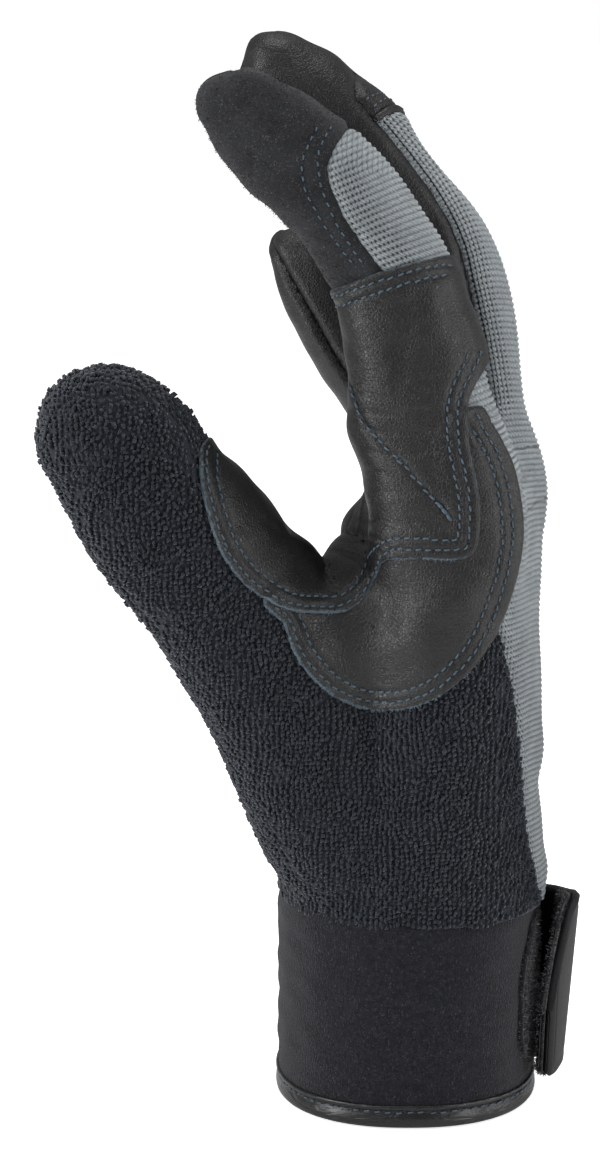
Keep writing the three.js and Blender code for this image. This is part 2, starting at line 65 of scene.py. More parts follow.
LOG = logging.getLogger("rescue_glove")
MM = 0.001
SEED = 11


# Lines and distances


def smooth_line(corners: Sequence[Sequence[float]], per_span: int, closed: bool = False) -> Array:
    """Draws a smooth line through corners.

    Args:
        corners: Points in two or more dimensions.
        per_span: How many steps each span is divided into.
        closed: Whether the last corner joins the first.

    Returns:
        The points of the line, one row each.
    """
    points = np.asarray(corners, float)
    if closed:
        ends = [np.roll(points, shift, axis=0) for shift in (1, 0, -1, -2)]
    else:
        longer = np.vstack([2 * points[0] - points[1], points, 2 * points[-1] - points[-2]])
        ends = [longer[:-3], longer[1:-2], longer[2:-1], longer[3:]]
    before, start, end, after = [side[:, None, :] for side in ends]
    t = np.linspace(0, 1, per_span, endpoint=False)[None, :, None]
    line = 0.5 * (
        2 * start
        + (end - before) * t
        + (2 * before - 5 * start + 4 * end - after) * t**2
        + (3 * start - before - 3 * end + after) * t**3
    )
    line = line.reshape(-1, points.shape[1])
    return line if closed else np.vstack([line, points[-1]])


def running_length(line: Array) -> Array:
    """Gives how far along a line each of its points lies."""
    return np.concatenate([[0.0], np.cumsum(np.linalg.norm(np.diff(line, axis=0), axis=1))])


def read_along(wanted: Array, run: Array, rows: Array) -> Array:
    """Reads rows of values at wanted distances along a line, given each row's own distance."""
    return np.stack([np.interp(wanted, run, column) for column in rows.T], axis=-1)


def even_line(line: Array, step: float) -> Array:
    """Spaces the points of a line evenly, about one step apart."""
    run = running_length(line)
    return read_along(np.linspace(0, run[-1], max(2, round(run[-1] / step) + 1)), run, line)


def drawn_line(corners: Sequence[Sequence[float]], step: float) -> Array:
    """Draws a smooth line through corners, with its points about one step apart."""
    return even_line(smooth_line(corners, 8), step)


def look_up(values: Array, table: Sequence[tuple[float, float]]) -> Array:
    """Reads values off a table whose rows are a place and its value."""
    return np.interp(values, *zip(*table))


def unit(vectors: Array) -> Array:
    """Scales each vector to a length of one."""
    return vectors / np.maximum(np.linalg.norm(vectors, axis=-1, keepdims=True), 1e-9)


def ease(values: Array, low: float, high: float) -> Array:
    """Rises smoothly from 0 at low to 1 at high."""
    t = np.clip((values - low) / (high - low), 0, 1)
    return t * t * (3 - 2 * t)


def polygon_level(points: Array, polygon: Array) -> Array:
    """Measures how far flat points lie inside a polygon.

    Args:
        points: Flat points, one row each.
        polygon: The polygon's corners in order.

    Returns:
        The distance to the polygon's edge, positive inside.
    """
    nearest = np.full(len(points), np.inf)
    inside = np.zeros(len(points), bool)
    for a, b in zip(polygon, np.roll(polygon, -1, axis=0)):
        span = b - a
        t = np.clip(((points - a) @ span) / max(span @ span, 1e-12), 0, 1)
        nearest = np.minimum(nearest, ((points - a - t[:, None] * span) ** 2).sum(axis=1))
        if a[1] != b[1]:
            between = (a[1] <= points[:, 1]) != (b[1] <= points[:, 1])
            left_of = points[:, 0] < a[0] + (points[:, 1] - a[1]) / span[1] * span[0]
            inside ^= between & left_of
    return np.where(inside, 1, -1) * np.sqrt(nearest)


def distance_to(line: Array, points: Array, reach: float) -> tuple[Array, Array]:
    """Finds how near points are to a line.

    Args:
        line: Points along the line, closely spaced.
        points: The points to measure.
        reach: The distance beyond which a point isn't looked at.

    Returns:
        Each point's distance, at most reach, and the index of the nearest point of the line.
    """
    tree = KDTree(len(line))
    for i, place in enumerate(line):
        tree.insert(place, i)
    tree.balance()
    distances = np.full(len(points), reach, float)
    nearest = np.zeros(len(points), int)
    boxed = ((points > line.min(axis=0) - reach) & (points < line.max(axis=0) + reach)).all(axis=1)
    for i in np.flatnonzero(boxed):
        _, index, distance = tree.find(points[i])
        if distance < reach:
            distances[i] = distance
            nearest[i] = index
    return distances, nearest


def gathered(index: Array, rows: Array, count: int) -> Array:
    """Adds up rows that share an index."""
    return np.stack([np.bincount(index, rows[:, k], count) for k in range(rows.shape[1])], axis=1)


def halved(quads: Array) -> Array:
    """Divides quads into triangles, all first halves before all second ones."""
    quads = quads.reshape(-1, 4)
    return np.concatenate([quads[:, [0, 1, 2]], quads[:, [0, 2, 3]]])


def wrapped(low: Array, high: Array) -> Array:
    """Lists the triangles between rings of points, where each ring's last point joins its first."""
    return halved(np.stack([low, np.roll(low, -1, axis=-1), np.roll(high, -1, axis=-1), high], axis=-1))


def cast(tree: BVHTree, starts: Array, ways: Array) -> tuple[Array, Array]:
    """Casts rays at a surface.

    Args:
        tree: The surface.
        starts: Where each ray starts.
        ways: Where each ray goes.

    Returns:
        The places of the rays' first hits, and the surface's direction there.
    """
    hits = [tree.ray_cast(Vector(start), Vector(way))[:2] for start, way in zip(starts, ways)]
    found = np.array([(place[:], normal[:]) for place, normal in hits if place is not None])
    return tuple(found.reshape(-1, 2, 3).transpose(1, 0, 2))


# Surfaces


@dataclass
class Surface:
    """A triangle mesh, with a tag on each face and named values on each point."""

    points: Array
    faces: Array
    tags: Array
    values: dict[str, Array] = field(default_factory=dict)

    def spans(self) -> Array:
        """Gives each face's outward direction, twice as long as the face is large."""
        a, b, c = (self.points[self.faces[:, k]] for k in range(3))
        return np.cross(b - a, c - a)

    def normals(self) -> Array:
        """Gives each point's outward direction."""
        spans = self.spans()
        return unit(sum(gathered(self.faces[:, k], spans, len(self.points)) for k in range(3)))

    def edges(self) -> tuple[Array, Array]:
        """Lists the edges once each.

        Returns:
            The two points of each edge, and for each face the index of its three edges.
        """
        count = len(self.points)
        pairs = np.sort(self.faces[:, [[0, 1], [1, 2], [2, 0]]].reshape(-1, 2), axis=1)
        keys, inverse = np.unique(pairs[:, 0] * count + pairs[:, 1], return_inverse=True)
        return np.stack([keys // count, keys % count], axis=1), inverse.reshape(-1, 3)

    def smooth(self, times: int, strength: float, weight: Array | None = None) -> None:
        """Evens the surface out.

        Args:
            times: How often each point moves towards its neighbours.
            strength: The share of the way that it moves.
            weight: A share for each point, or nothing to move all alike.
        """
        pairs, _ = self.edges()
        count = np.bincount(pairs.ravel(), minlength=len(self.points))[:, None]
        share = strength if weight is None else strength * weight[:, None]
        for _ in range(times):
            total = gathered(pairs[:, 0], self.points[pairs[:, 1]], len(self.points))
            total += gathered(pairs[:, 1], self.points[pairs[:, 0]], len(self.points))
            self.points = self.points + share * (total / np.maximum(count, 1) - self.points)

    def split(self, level: Array) -> Array:
        """Cuts the faces along the line where a level is zero.

        Args:
            level: A number for each point, which changes sign at the cut.

        Returns:
            The mean level of each face of the cut surface.
        """
        level = level.astype(float).copy()
        pairs, face_edges = self.edges()
        first, second = level[pairs[:, 0]], level[pairs[:, 1]]
        crossing = first * second < 0
        place = np.divide(first, first - second, out=np.full(len(pairs), 0.5), where=crossing)
        level[pairs[crossing & (place < 0.15), 0]] = 0
        level[pairs[crossing & (place > 0.85), 1]] = 0
        crossing = level[pairs[:, 0]] * level[pairs[:, 1]] < 0
        made = np.full(len(pairs), -1)
        made[crossing] = len(self.points) + np.arange(crossing.sum())
        near, far, t = pairs[crossing, 0], pairs[crossing, 1], place[crossing]

        def between(rows: Array) -> Array:
            """Adds the values at the new points."""
            share = t if rows.ndim == 1 else t[:, None]
            return np.concatenate([rows, rows[near] * (1 - share) + rows[far] * share])

        self.points = between(self.points)
        self.values = {name: between(rows) for name, rows in self.values.items()}
        level = np.concatenate([level, np.zeros(crossing.sum())])

        cut = made[face_edges]
        sign = np.sign(level[self.faces])
        cuts = (cut >= 0).sum(axis=1)
        whole = cuts == 0
        faces, tags = [self.faces[whole]], [self.tags[whole]]
        for wanted in (1, 2):
            chosen = cuts == wanted
            corners, marks, sides = self.faces[chosen], cut[chosen], sign[chosen]
            if wanted == 1:
                turn = np.argmax(sides == 0, axis=1)
            else:
                turn = np.argmax(sides == -np.sign(sides.sum(axis=1, keepdims=True)), axis=1)
            order = (turn[:, None] + np.arange(3)) % 3
            a, b, c = np.take_along_axis(corners, order, axis=1).T
            ab, bc, ca = np.take_along_axis(marks, order, axis=1).T
            if wanted == 1:
                pieces = [(a, b, bc), (a, bc, c)]
            else:
                pieces = [(a, ab, ca), (ab, b, c), (ab, c, ca)]
            for piece in pieces:
                faces.append(np.stack(piece, axis=1))
                tags.append(self.tags[chosen])
        self.faces = np.concatenate(faces).astype(int)
        self.tags = np.concatenate(tags)
        return level[self.faces].mean(axis=1)

    def part(self, chosen: Array) -> "Surface":
        """Takes some faces as a surface of their own.

        Args:
            chosen: For each face, whether it is taken.

        Returns:
            The new surface.
        """
        used, renumbered = np.unique(self.faces[chosen], return_inverse=True)
        values = {name: rows[used] for name, rows in self.values.items()}
        return Surface(self.points[used], renumbered.reshape(-1, 3), self.tags[chosen], values)

    def refined(self) -> "Surface":
        """Divides every face into four.

        Returns:
            The finer surface.
        """
        pairs, face_edges = self.edges()

        def middled(rows: Array) -> Array:
            """Adds the values at the middles of the edges."""
            return np.concatenate([rows, (rows[pairs[:, 0]] + rows[pairs[:, 1]]) / 2])

        a, b, c = self.faces.T
        ab, bc, ca = (face_edges + len(self.points)).T
        quarters = [(a, ab, ca), (ab, b, bc), (ca, bc, c), (ab, bc, ca)]
        faces = np.concatenate([np.stack(quarter, axis=1) for quarter in quarters])
        values = {name: middled(rows) for name, rows in self.values.items()}
        return Surface(middled(self.points), faces, np.tile(self.tags, 4), values)

    def rim(self) -> Array:
        """Lists the open edge's sides.

        Returns:
            The two points of each side that only one face has, in that face's direction.
        """
        sides = self.faces[:, [[0, 1], [1, 2], [2, 0]]].reshape(-1, 2)
        count = len(self.points)
        there = sides[:, 0] * count + sides[:, 1]
        back = sides[:, 1] * count + sides[:, 0]
        return sides[~np.isin(there, back)]

    def rim_points(self) -> Array:
        """Gives the places along the open edge, with the middle of each edge."""
        rim = self.rim()
        return np.concatenate([self.points[rim[:, 0]], self.points[rim].mean(axis=1)])

    def skirted(self, depth: float) -> "Surface":
        """Turns the open edge inwards.

        Args:
            depth: How far the turned edge reaches below the surface.

        Returns:
            The surface with its turned edge.
        """
        rim = self.rim()
        used, renumbered = np.unique(rim, return_inverse=True)
        low = len(self.points) + renumbered.reshape(-1, 2)
        points = np.concatenate([self.points, self.points[used] - self.normals()[used] * depth])
        a, b = rim.T
        low_a, low_b = low.T
        faces = np.concatenate([self.faces, np.stack([b, a, low_a], 1), np.stack([b, low_a, low_b], 1)])
        tags = np.concatenate([self.tags, np.full(2 * len(rim), self.tags[0])])
        values = {name: np.concatenate([rows, rows[used]]) for name, rows in self.values.items()}
        return Surface(points, faces, tags, values)

    def pieces(self) -> Array:
        """Numbers the connected pieces.

        Returns:
            A number for each face.
        """
        label = np.arange(len(self.points))
        while True:
            lowest = label[self.faces].min(axis=1)
            new = label.copy()
            for k in range(3):
                np.minimum.at(new, self.faces[:, k], lowest)
            new = new[new]
            if (new == label).all():
                return label[self.faces[:, 0]]
            label = new

    def raised(self, amount: Array | float) -> "Surface":
        """Moves each point along its normal."""
        step = np.asarray(amount, float)[..., None]
        return replace(self, points=self.points + self.normals() * step)

    def groove(self, line: Array, width: float, reach: float) -> tuple[Array, Array]:
        """Gives a groove's share of its depth at each point, and the nearest point of its line."""
        gap, nearest = distance_to(line, self.points, reach)
        return np.exp(-((gap / width) ** 2)) * (gap < reach), nearest

    def tree(self) -> BVHTree:
        """Makes the tree that rays are cast into."""
        return BVHTree.FromPolygons(self.points.tolist(), self.faces.tolist())


def tubes(lines: Array, radii: Array, ups: Array, sides: int) -> Surface:
    """Makes many open tubes of the same make.

    Args:
        lines: The middle lines, as tube, place along it and x, y, z.
        radii: The radius at each place of each tube.
        ups: A direction for each tube, across its line.
        sides: How many sides a tube has.

    Returns:
        One surface with all the tubes.
    """
    count, length, _ = lines.shape
    along = unit(np.gradient(lines, axis=1))
    side = unit(np.cross(along, ups[:, None, :]))
    up = np.cross(side, along)
    angle = 2 * np.pi * np.arange(sides) / sides
    ring = np.cos(angle)[:, None] * side[:, :, None, :] + np.sin(angle)[:, None] * up[:, :, None, :]
    points = lines[:, :, None, :] + ring * radii[:, :, None, None]
    grid = np.arange(count * length * sides).reshape(count, length, sides)
    return plain(points, wrapped(grid[:, :-1], grid[:, 1:]))


def grid_faces(rows: int, columns: int, closed: bool) -> Array:
    """Lists the triangles of a grid of points.

    Args:
        rows: How many rows of points.
        columns: How many points in each row.
        closed: Whether the last row joins the first.

    Returns:
        The triangles.
    """
    grid = np.arange(rows * columns).reshape(rows, columns)
    low = grid if closed else grid[:-1]
    high = np.roll(grid, -1, axis=0) if closed else grid[1:]
    return halved(np.stack([low[:, :-1], high[:, :-1], high[:, 1:], low[:, 1:]], axis=-1))


def plain(points: Array, faces: Array) -> Surface:
    """Makes a surface whose faces all have the tag 0."""
    return Surface(points.reshape(-1, 3), faces, np.zeros(len(faces), int))


def joined(surfaces: Sequence[Surface]) -> Surface:
    """Puts several surfaces into one, without their values.

    Args:
        surfaces: The surfaces.

    Returns:
        The whole.
    """
    starts = np.cumsum([0] + [len(surface.points) for surface in surfaces[:-1]])
    faces = [surface.faces + start for surface, start in zip(surfaces, starts)]
    return plain(np.concatenate([surface.points for surface in surfaces]), np.concatenate(faces))


def show(surface: Surface, name: str, material: Material, node: str = "") -> None:
    """Makes a surface a piece of the glove, which rides on its one body.

    Args:
        surface: The surface in millimetres.
        name: The piece's name.
        material: What it is made of.
        node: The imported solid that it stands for, if any.
    """
    mesh = bpy.data.meshes.new(name)
    mesh.vertices.add(len(surface.points))
    mesh.vertices.foreach_set("co", (surface.points * MM).astype(np.float32).ravel())
    mesh.loops.add(surface.faces.size)
    mesh.loops.foreach_set("vertex_index", surface.faces.astype(np.int32).ravel())
    mesh.polygons.add(len(surface.faces))
    mesh.polygons.foreach_set("loop_start", np.arange(0, surface.faces.size, 3, dtype=np.int32))
    mesh.update(calc_edges=True)
    mesh.shade_smooth()
    if "rib" in surface.values:
        weave = np.stack([surface.values["along"], surface.values["rib"]], axis=-1)[surface.faces]
        mesh.uv_layers.new(name="Weave").data.foreach_set("uv", weave.astype(np.float32).ravel())
    # The knit's open share also sets how much painted shade darkens its holes.
    for value in ("raw", "open"):
        if value in surface.values:
            layer = mesh.attributes.new(value, "FLOAT", "POINT")
            layer.data.foreach_set("value", surface.values[value].astype(np.float32))
    mesh.validate()
    mesh.materials.append(material)
    piece = bpy.data.objects.new(name, mesh)
    bpy.context.scene.collection.objects.link(piece)
    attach(piece, "root")
    if node:
        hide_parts(node)
    LOG.info("%s: %d triangles", name, len(surface.faces))


# Camera


@dataclass(frozen=True)
class StudioView:
    """Where the glove is seen from, in millimetres and degrees."""

    target: tuple[float, float, float] = (-24.4, 0.0, 119.4)
    elevation: float = 10.5
    distance: float = 1000.0
    lens: float = 137.4
    sensor: float = 36.0

    def eye(self) -> Array:
        """Gives the camera's place."""
        tilt = math.radians(self.elevation)
        return np.array(self.target) + self.distance * np.array([0, -math.cos(tilt), math.sin(tilt)])

    def flatten(self, points: Array, depth: float) -> Array:
        """Moves points along the lines of sight.

        Args:
            points: Points of the glove.
            depth: The y of the plane that they are moved to.

        Returns:
            Their x and z on that plane.
        """
        eye = self.eye()
        scale = (depth - eye[1]) / (points[:, 1] - eye[1])
        return eye[[0, 2]] + (points[:, [0, 2]] - eye[[0, 2]]) * scale[:, None]

    def project(self, line: Array, depth: float, tree: BVHTree) -> tuple[Array, Array]:
        """Lays a drawn line on a surface.

        Args:
            line: The line's x and z.
            depth: The y of the plane that it is drawn on.
            tree: The surface.

        Returns:
            The places where it meets the surface, and the surface's direction there.
        """
        eye = self.eye()
        aims = np.stack([line[:, 0], np.full(len(line), depth), line[:, 1]], axis=1) - eye
        return cast(tree, np.tile(eye, (len(line), 1)), aims)

    def camera(self) -> None:
        """Sets up the scene's camera."""
        made = bpy.data.cameras.new("studio_camera")
        made.lens = self.lens
        made.sensor_width = self.sensor
        made.clip_start, made.clip_end = 0.05, 60
        camera = bpy.data.objects.new("studio_camera", made)
        camera.location = Vector(self.eye() * MM)
        aim = Vector(np.array(self.target) * MM) - camera.location
        camera.rotation_mode = "QUATERNION"
        camera.rotation_quaternion = aim.to_track_quat("-Z", "Y")
        bpy.context.scene.collection.objects.link(camera)
        bpy.context.scene.camera = camera


VIEW = StudioView()
SPAN_STEPS = 6


@dataclass(frozen=True)
class Outline:
    """A closed outline as it is seen from the camera, drawn on the plane y = depth."""

    depth: float
    corners: tuple[tuple[float, float], ...]
    rounded: bool = True

    def line(self) -> Array:
        """Gives the outline's points."""
        corners = np.array(self.corners, float)
        return smooth_line(corners, SPAN_STEPS, closed=True) if self.rounded else corners

    def level(self, points: Array) -> Array:
        """Measures how far points of the glove lie inside the outline."""
        return polygon_level(VIEW.flatten(points, self.depth), self.line())


# The hand


END_TURNS = np.radians(np.arange(12, 90, 12))
HEM_SLOPE = 0.28
HEM_RAYS = 90
OUTSIDE_FINGER = 12.5
OWN_REACH = 1.5


class Station(NamedTuple):
    """A section of a limb: its centre, then half its thickness and half its width."""

    x: float
    y: float
    z: float
    thick: float
    wide: float


@dataclass(frozen=True)
class Limb:
    """A finger, the thumb or the hand: rounded sections along a path, closed by a rounded end."""

    tip: float
    stations: tuple[Station, ...]
    roundness: float = 2.25
    sides: int = 56

    def fine(self) -> Array:
        """Gives closely spaced sections."""
        return smooth_line(self.stations, 8)

    def frames(self, rows: Array) -> tuple[Array, Array, Array]:
        """Gives the directions of the sections.

        Args:
            rows: The sections.

        Returns:
            The direction along the limb, across it, and towards the back of the hand.
        """
        along = unit(np.gradient(rows[:, :3], axis=0))
        across = unit(np.array([0, 1.0, 0]) - along * along[:, 1:2])
        return along, across, np.cross(across, along)

    def skin(self) -> tuple[Array, list[list[int]]]:
        """Makes the closed limb.

        Returns:
            Its points, and the points of each face.
        """
        rows = self.fine()
        along, across, outward = self.frames(rows)
        angle = 2 * np.pi * (np.arange(self.sides) + 0.5) / self.sides
        power = 2 / self.roundness
        front = np.sign(np.cos(angle)) * np.abs(np.cos(angle)) ** power
        side = np.sign(np.sin(angle)) * np.abs(np.sin(angle)) ** power

        def ring(i: int, size: float, shift: float) -> Array:
            """Gives one section's points.

            Args:
                i: The section.
                size: How large it is made, as a share of its own size.
                shift: How far it is moved along the limb.

            Returns:
                Its points.
            """
            row = rows[i]
            return (
                row[:3]
                + along[i] * shift
                + size * row[3] * front[:, None] * outward[i]
                + size * row[4] * side[:, None] * across[i]
            )

        rings = [ring(i, 1, 0) for i in range(len(rows))]
        for step in END_TURNS:
            rings.append(ring(-1, math.cos(step), self.tip * math.sin(step)))
        count = len(rings)
        points = np.concatenate([*rings, rows[:1, :3], rows[-1:, :3] + along[-1] * self.tip])
        faces = grid_faces(self.sides, count, closed=True)
        turned = np.arange(self.sides * count).reshape(count, self.sides).T.ravel()
        polygons = turned[faces].tolist()
        last, start = (count - 1) * self.sides, count * self.sides
        for i in range(self.sides):
            j = (i + 1) % self.sides
            polygons.append([start, j, i])
            polygons.append([start + 1, last + i, last + j])
        return points, polygons

    def place(self, points: Array) -> tuple[Array, Array, Array]:
        """Finds where points of the glove are on this limb.

        Args:
            points: Points of the glove.

        Returns:
            How far along the limb each is, how far from its middle line towards the back, and how
            far outside the limb.
        """
        rows = self.fine()
        run = running_length(rows[:, :3])
        flat, ends = rows[:, [0, 2]], points[:, [0, 2]]
        best = np.full(len(points), np.inf)
        found = np.zeros((len(points), 3))
        for i in range(len(rows) - 1):
            span = flat[i + 1] - flat[i]
            open_end = np.inf if i == len(rows) - 2 else 1
            t = np.clip(((ends - flat[i]) @ span) / (span @ span), 0, open_end)
            gap = ends - flat[i] - t[:, None] * span
            off = (gap**2).sum(axis=1)
            nearer = off < best
            best[nearer] = off[nearer]
            share = np.minimum(t, 1)
            row = rows[i] + (rows[i + 1] - rows[i]) * share[:, None]
            out = np.array([span[1], -span[0]]) / np.linalg.norm(span)
            back = gap @ out
            ratio = np.sqrt(off / row[:, 3] ** 2 + ((points[:, 1] - row[:, 1]) / row[:, 4]) ** 2)
            past = (ratio - 1) * row[:, 4]
            length = run[i] + (run[i + 1] - run[i]) * t
            found[nearer] = np.stack([length, back, past], axis=1)[nearer]
        return tuple(found.T)

    def across_back(self, run: float, tree: BVHTree, spread: float) -> tuple[Array, Array]:
        """Finds a line across the back of the finger.

        Args:
            run: How far along the finger the line is.
            tree: The surface.
            spread: How far round it reaches to each side, in degrees.

        Returns:
            The places where it meets the surface, and the surface's direction there.
        """
        rows = self.fine()
        runs = running_length(rows[:, :3])
        i = int(np.abs(runs - run).argmin())
        along, across, outward = (part[i] for part in self.frames(rows))
        middle = rows[i, :3] + along * (run - runs[i])
        across = unit(across - along * math.copysign(HEM_SLOPE, across[1]))
        turns = np.radians(np.linspace(-spread, spread, HEM_RAYS))
        ways = np.array([math.cos(turn) * outward + math.sin(turn) * across for turn in turns])
        places, normals = cast(tree, middle + ways * OUTSIDE_FINGER, -ways)
        own = self.place(places)[2] < OWN_REACH
        return places[own], normals[own]

    def length(self) -> float:
        """Gives the length of the path."""
        return float(running_length(self.fine()[:, :3])[-1])


def limb(tip: float, *stations: tuple[float, ...]) -> Limb:
    """Makes a limb from rows of x, y, z, half thickness and half width."""
    return Limb(tip, tuple(Station(*row) for row in stations))


HAND = limb(
    9,
    (1.0, 0, 38.0, 30.2, 35.5),
    (1.6, 0, 47.0, 30.2, 36.0),
    (2.4, 0, 57.0, 29.2, 37.5),
    (3.6, 0, 70.0, 27.4, 40.5),
    (5.2, 0, 84.0, 25.6, 43.5),
    (6.8, 0, 98.0, 23.8, 46.0),
    (7.8, 0, 112.0, 22.0, 47.8),
    (8.8, 0, 125.0, 21.4, 48.5),
    (10.0, 0, 137.0, 19.8, 48.5),
    (9.6, 0, 147.0, 16.0, 46.5),
)
THUMB = limb(
    16.5,
    (-6.5, -8, 60.0, 19.0, 22.0),
    (-14.2, -14, 70.6, 21.0, 24.5),
    (-26.4, -22, 100.4, 20.8, 21.5),
    (-40.4, -30, 121.4, 18.2, 17.5),
    (-49.6, -36, 133.1, 17.8, 15.5),
    (-57.4, -39, 143.8, 17.6, 14.6),
    (-62.2, -41, 152.6, 17.7, 14.2),
    (-65.0, -42, 157.2, 16.8, 13.6),
)
WEB = limb(
    10,
    (0.0, -22, 88.0, 12.0, 12.0),
    (-5.0, -23, 108.0, 15.0, 17.0),
    (-8.5, -23, 120.5, 13.5, 16.5),
)
INDEX = limb(
    9,
    (9.0, -36, 108.0, 10.0, 7.0),
    (9.0, -37, 128.0, 16.0, 11.2),
    (7.6, -37, 146.0, 16.4, 12.1),
    (1.8, -37, 167.0, 14.2, 11.9),
    (-3.2, -37, 189.7, 12.9, 11.8),
    (-8.4, -37, 199.0, 12.8, 11.7),
    (-14.7, -37, 208.1, 12.9, 11.5),
    (-22.2, -37, 216.0, 12.3, 11.2),
    (-29.8, -37, 221.8, 11.9, 10.8),
    (-37.0, -37, 227.2, 10.4, 9.6),
)
MIDDLE = limb(
    9.5,
    (15.0, -11.5, 112.0, 9.0, 9.0),
    (17.0, -11.5, 139.0, 13.9, 11.6),
    (12.2, -11.5, 158.2, 13.8, 11.6),
    (10.0, -11.5, 179.9, 13.3, 11.6),
    (5.5, -11.5, 193.8, 12.9, 11.6),
    (-2.5, -11.5, 205.5, 12.2, 11.5),
    (-9.8, -11.5, 218.1, 11.5, 11.3),
    (-21.1, -11.5, 228.0, 11.2, 10.6),
    (-29.4, -11.5, 233.4, 10.2, 9.6),
)
RING = limb(
    8,
    (14.0, 13.5, 108.0, 9.0, 9.0),
    (16.5, 13.5, 132.4, 13.3, 11.4),
    (11.1, 13.5, 152.2, 13.3, 11.4),
    (7.5, 13.5, 172.9, 13.0, 11.4),
    (1.8, 13.5, 188.9, 12.5, 11.4),
    (-7.4, 13.5, 202.6, 12.0, 11.2),
    (-17.6, 13.5, 212.8, 11.3, 10.6),
    (-25.8, 13.5, 217.8, 9.8, 9.2),
)
LITTLE = limb(
    9.5,
    (10.0, 36.0, 96.0, 9.0, 7.0),
    (11.4, 37.5, 121.2, 12.3, 10.8),
    (6.1, 37.5, 137.9, 11.7, 10.8),
    (-2.2, 37.5, 154.5, 11.2, 10.8),
    (-10.6, 37.5, 166.3, 10.8, 10.6),
    (-17.6, 37.5, 178.6, 10.6, 10.2),
    (-22.4, 37.5, 186.6, 9.8, 9.4),
)
LIMBS = (HAND, THUMB, WEB, INDEX, MIDDLE, RING, LITTLE)


# Outlines on the thumb side, as x and z
GRIP = Outline(-40, (
    (-45, 157), (-46.5, 150.5), (-45, 141.5), (-42, 132.5), (-37.5, 126), (-32.5, 122),
    (-27, 119.2), (-20, 118.3), (-14, 119), (-9.5, 122.2), (-6.5, 127), (-4.5, 130.7),
    (3, 131), (10.5, 130.9), (14, 134), (14.2, 144.5), (11.8, 157), (12, 166),
    (16.3, 176), (14, 184), (9.6, 196), (2, 196), (-7, 193.5), (-15, 190.6),
    (-26, 186), (-30, 170), (-34, 163),
))
SADDLE = Outline(-44, (
    (-32, 124), (-28.2, 117), (-25, 109), (-18, 101.5), (-10, 98.2), (-2, 98.1),
    (6, 101), (13, 107.2), (18.2, 115.5), (22, 126.5), (23.5, 138), (21.5, 151),
    (17, 160.5), (13, 165), (2, 158), (-14, 140),
))
BACK_NEAR = Outline(-35, (
    (31.5, 44), (28.6, 56), (25.8, 69), (24.6, 84), (23.6, 94), (21.6, 106),
    (18.8, 116), (14.5, 130), (9, 146), (60, 150), (60, 40),
), rounded=False)
OVAL_EDGE = (
    (-14.2, 224.6), (-17.2, 220), (-18.6, 216.5), (-18, 212.5), (-15, 205.5), (-11, 199.6), (-5, 192),
    (-1, 182), (2, 168), (5, 152),
)
KNIT_OVAL = Outline(-44, OVAL_EDGE + ((9, 146), (45, 150), (45, 190), (14, 215), (-4, 232)), rounded=False)
KNIT_BORDER = (
    (-12, 229.6), (-8.1, 225.1), (-4.8, 221.4), (-0.4, 216), (4.5, 209.4), (8.4, 202.8), (11.1, 196.3),
    (12.9, 188.5), (14.7, 180.8), (16.1, 173.7), (17.4, 166), (18.5, 158), (19.6, 148), (20, 128),
)
FINGER_BACK = Outline(-22, KNIT_BORDER + ((80, 128), (80, 260), (-12, 260)), rounded=False)
INDEX_TIP = Outline(-44, (
    (-40, 178), (-12, 180), (30, 183), (60, 200), (0, 260), (-90, 260), (-90, 200),
), rounded=False)
CROTCH_EDGE = ((-8, 116), (-15.5, 119), (-17.5, 128), (-34, 152), (-48, 182), (-120, 182))
OVER_CROTCH = ((-120, 260), (60, 260), (60, 116))
UNDER_CROTCH = ((-120, 30), (40, 30), (40, 116))
PALM_CREASE = ((9, 30), (9, 60), (6, 80), (-3, 98), (-17, 110), (-30, 117))
CREASE_OUTSIDE = ((-30, 150), (90, 150), (90, 30))


class Panel(Enum):
    """The panels that the hand is sewn from, named as their solids are."""

    TERRY = "terry_panel"
    PALM = "palm_panel"
    BACK = "back_panel"
    INDEX_KNIT = "index_knit"
    INDEX_CAP = "index_cap"
    MIDDLE_CAP = "middle_cap"
    RING_CAP = "ring_cap"
    LITTLE_CAP = "little_cap"
    FORK_INDEX = "fourchette_index_middle"
    FORK_MIDDLE = "fourchette_middle_ring"
    FORK_RING = "fourchette_ring_little"


PANELS = list(Panel)
FORKS = {Panel.FORK_INDEX: (INDEX, MIDDLE), Panel.FORK_MIDDLE: (MIDDLE, RING), Panel.FORK_RING: (RING, LITTLE)}
CAPS = {Panel.MIDDLE_CAP: (MIDDLE, 24.0), Panel.RING_CAP: (RING, 22.0), Panel.LITTLE_CAP: (LITTLE, 18.0)}
INDEX_OUTLINES = {Panel.INDEX_KNIT: KNIT_OVAL, Panel.INDEX_CAP: INDEX_TIP}
CUT_ORDER = (*FORKS, *INDEX_OUTLINES, *CAPS, Panel.BACK, Panel.PALM)


def panel_part(body: Surface, panel: Panel) -> Surface:
    """Takes one panel from the hand."""
    return body.part(body.tags == PANELS.index(panel))


class Swell(NamedTuple):
    """A low swelling of the hand, or a hollow: its middle, its reach and how far it stands out."""

    x: float
    y: float
    z: float
    reach: float
    out: float


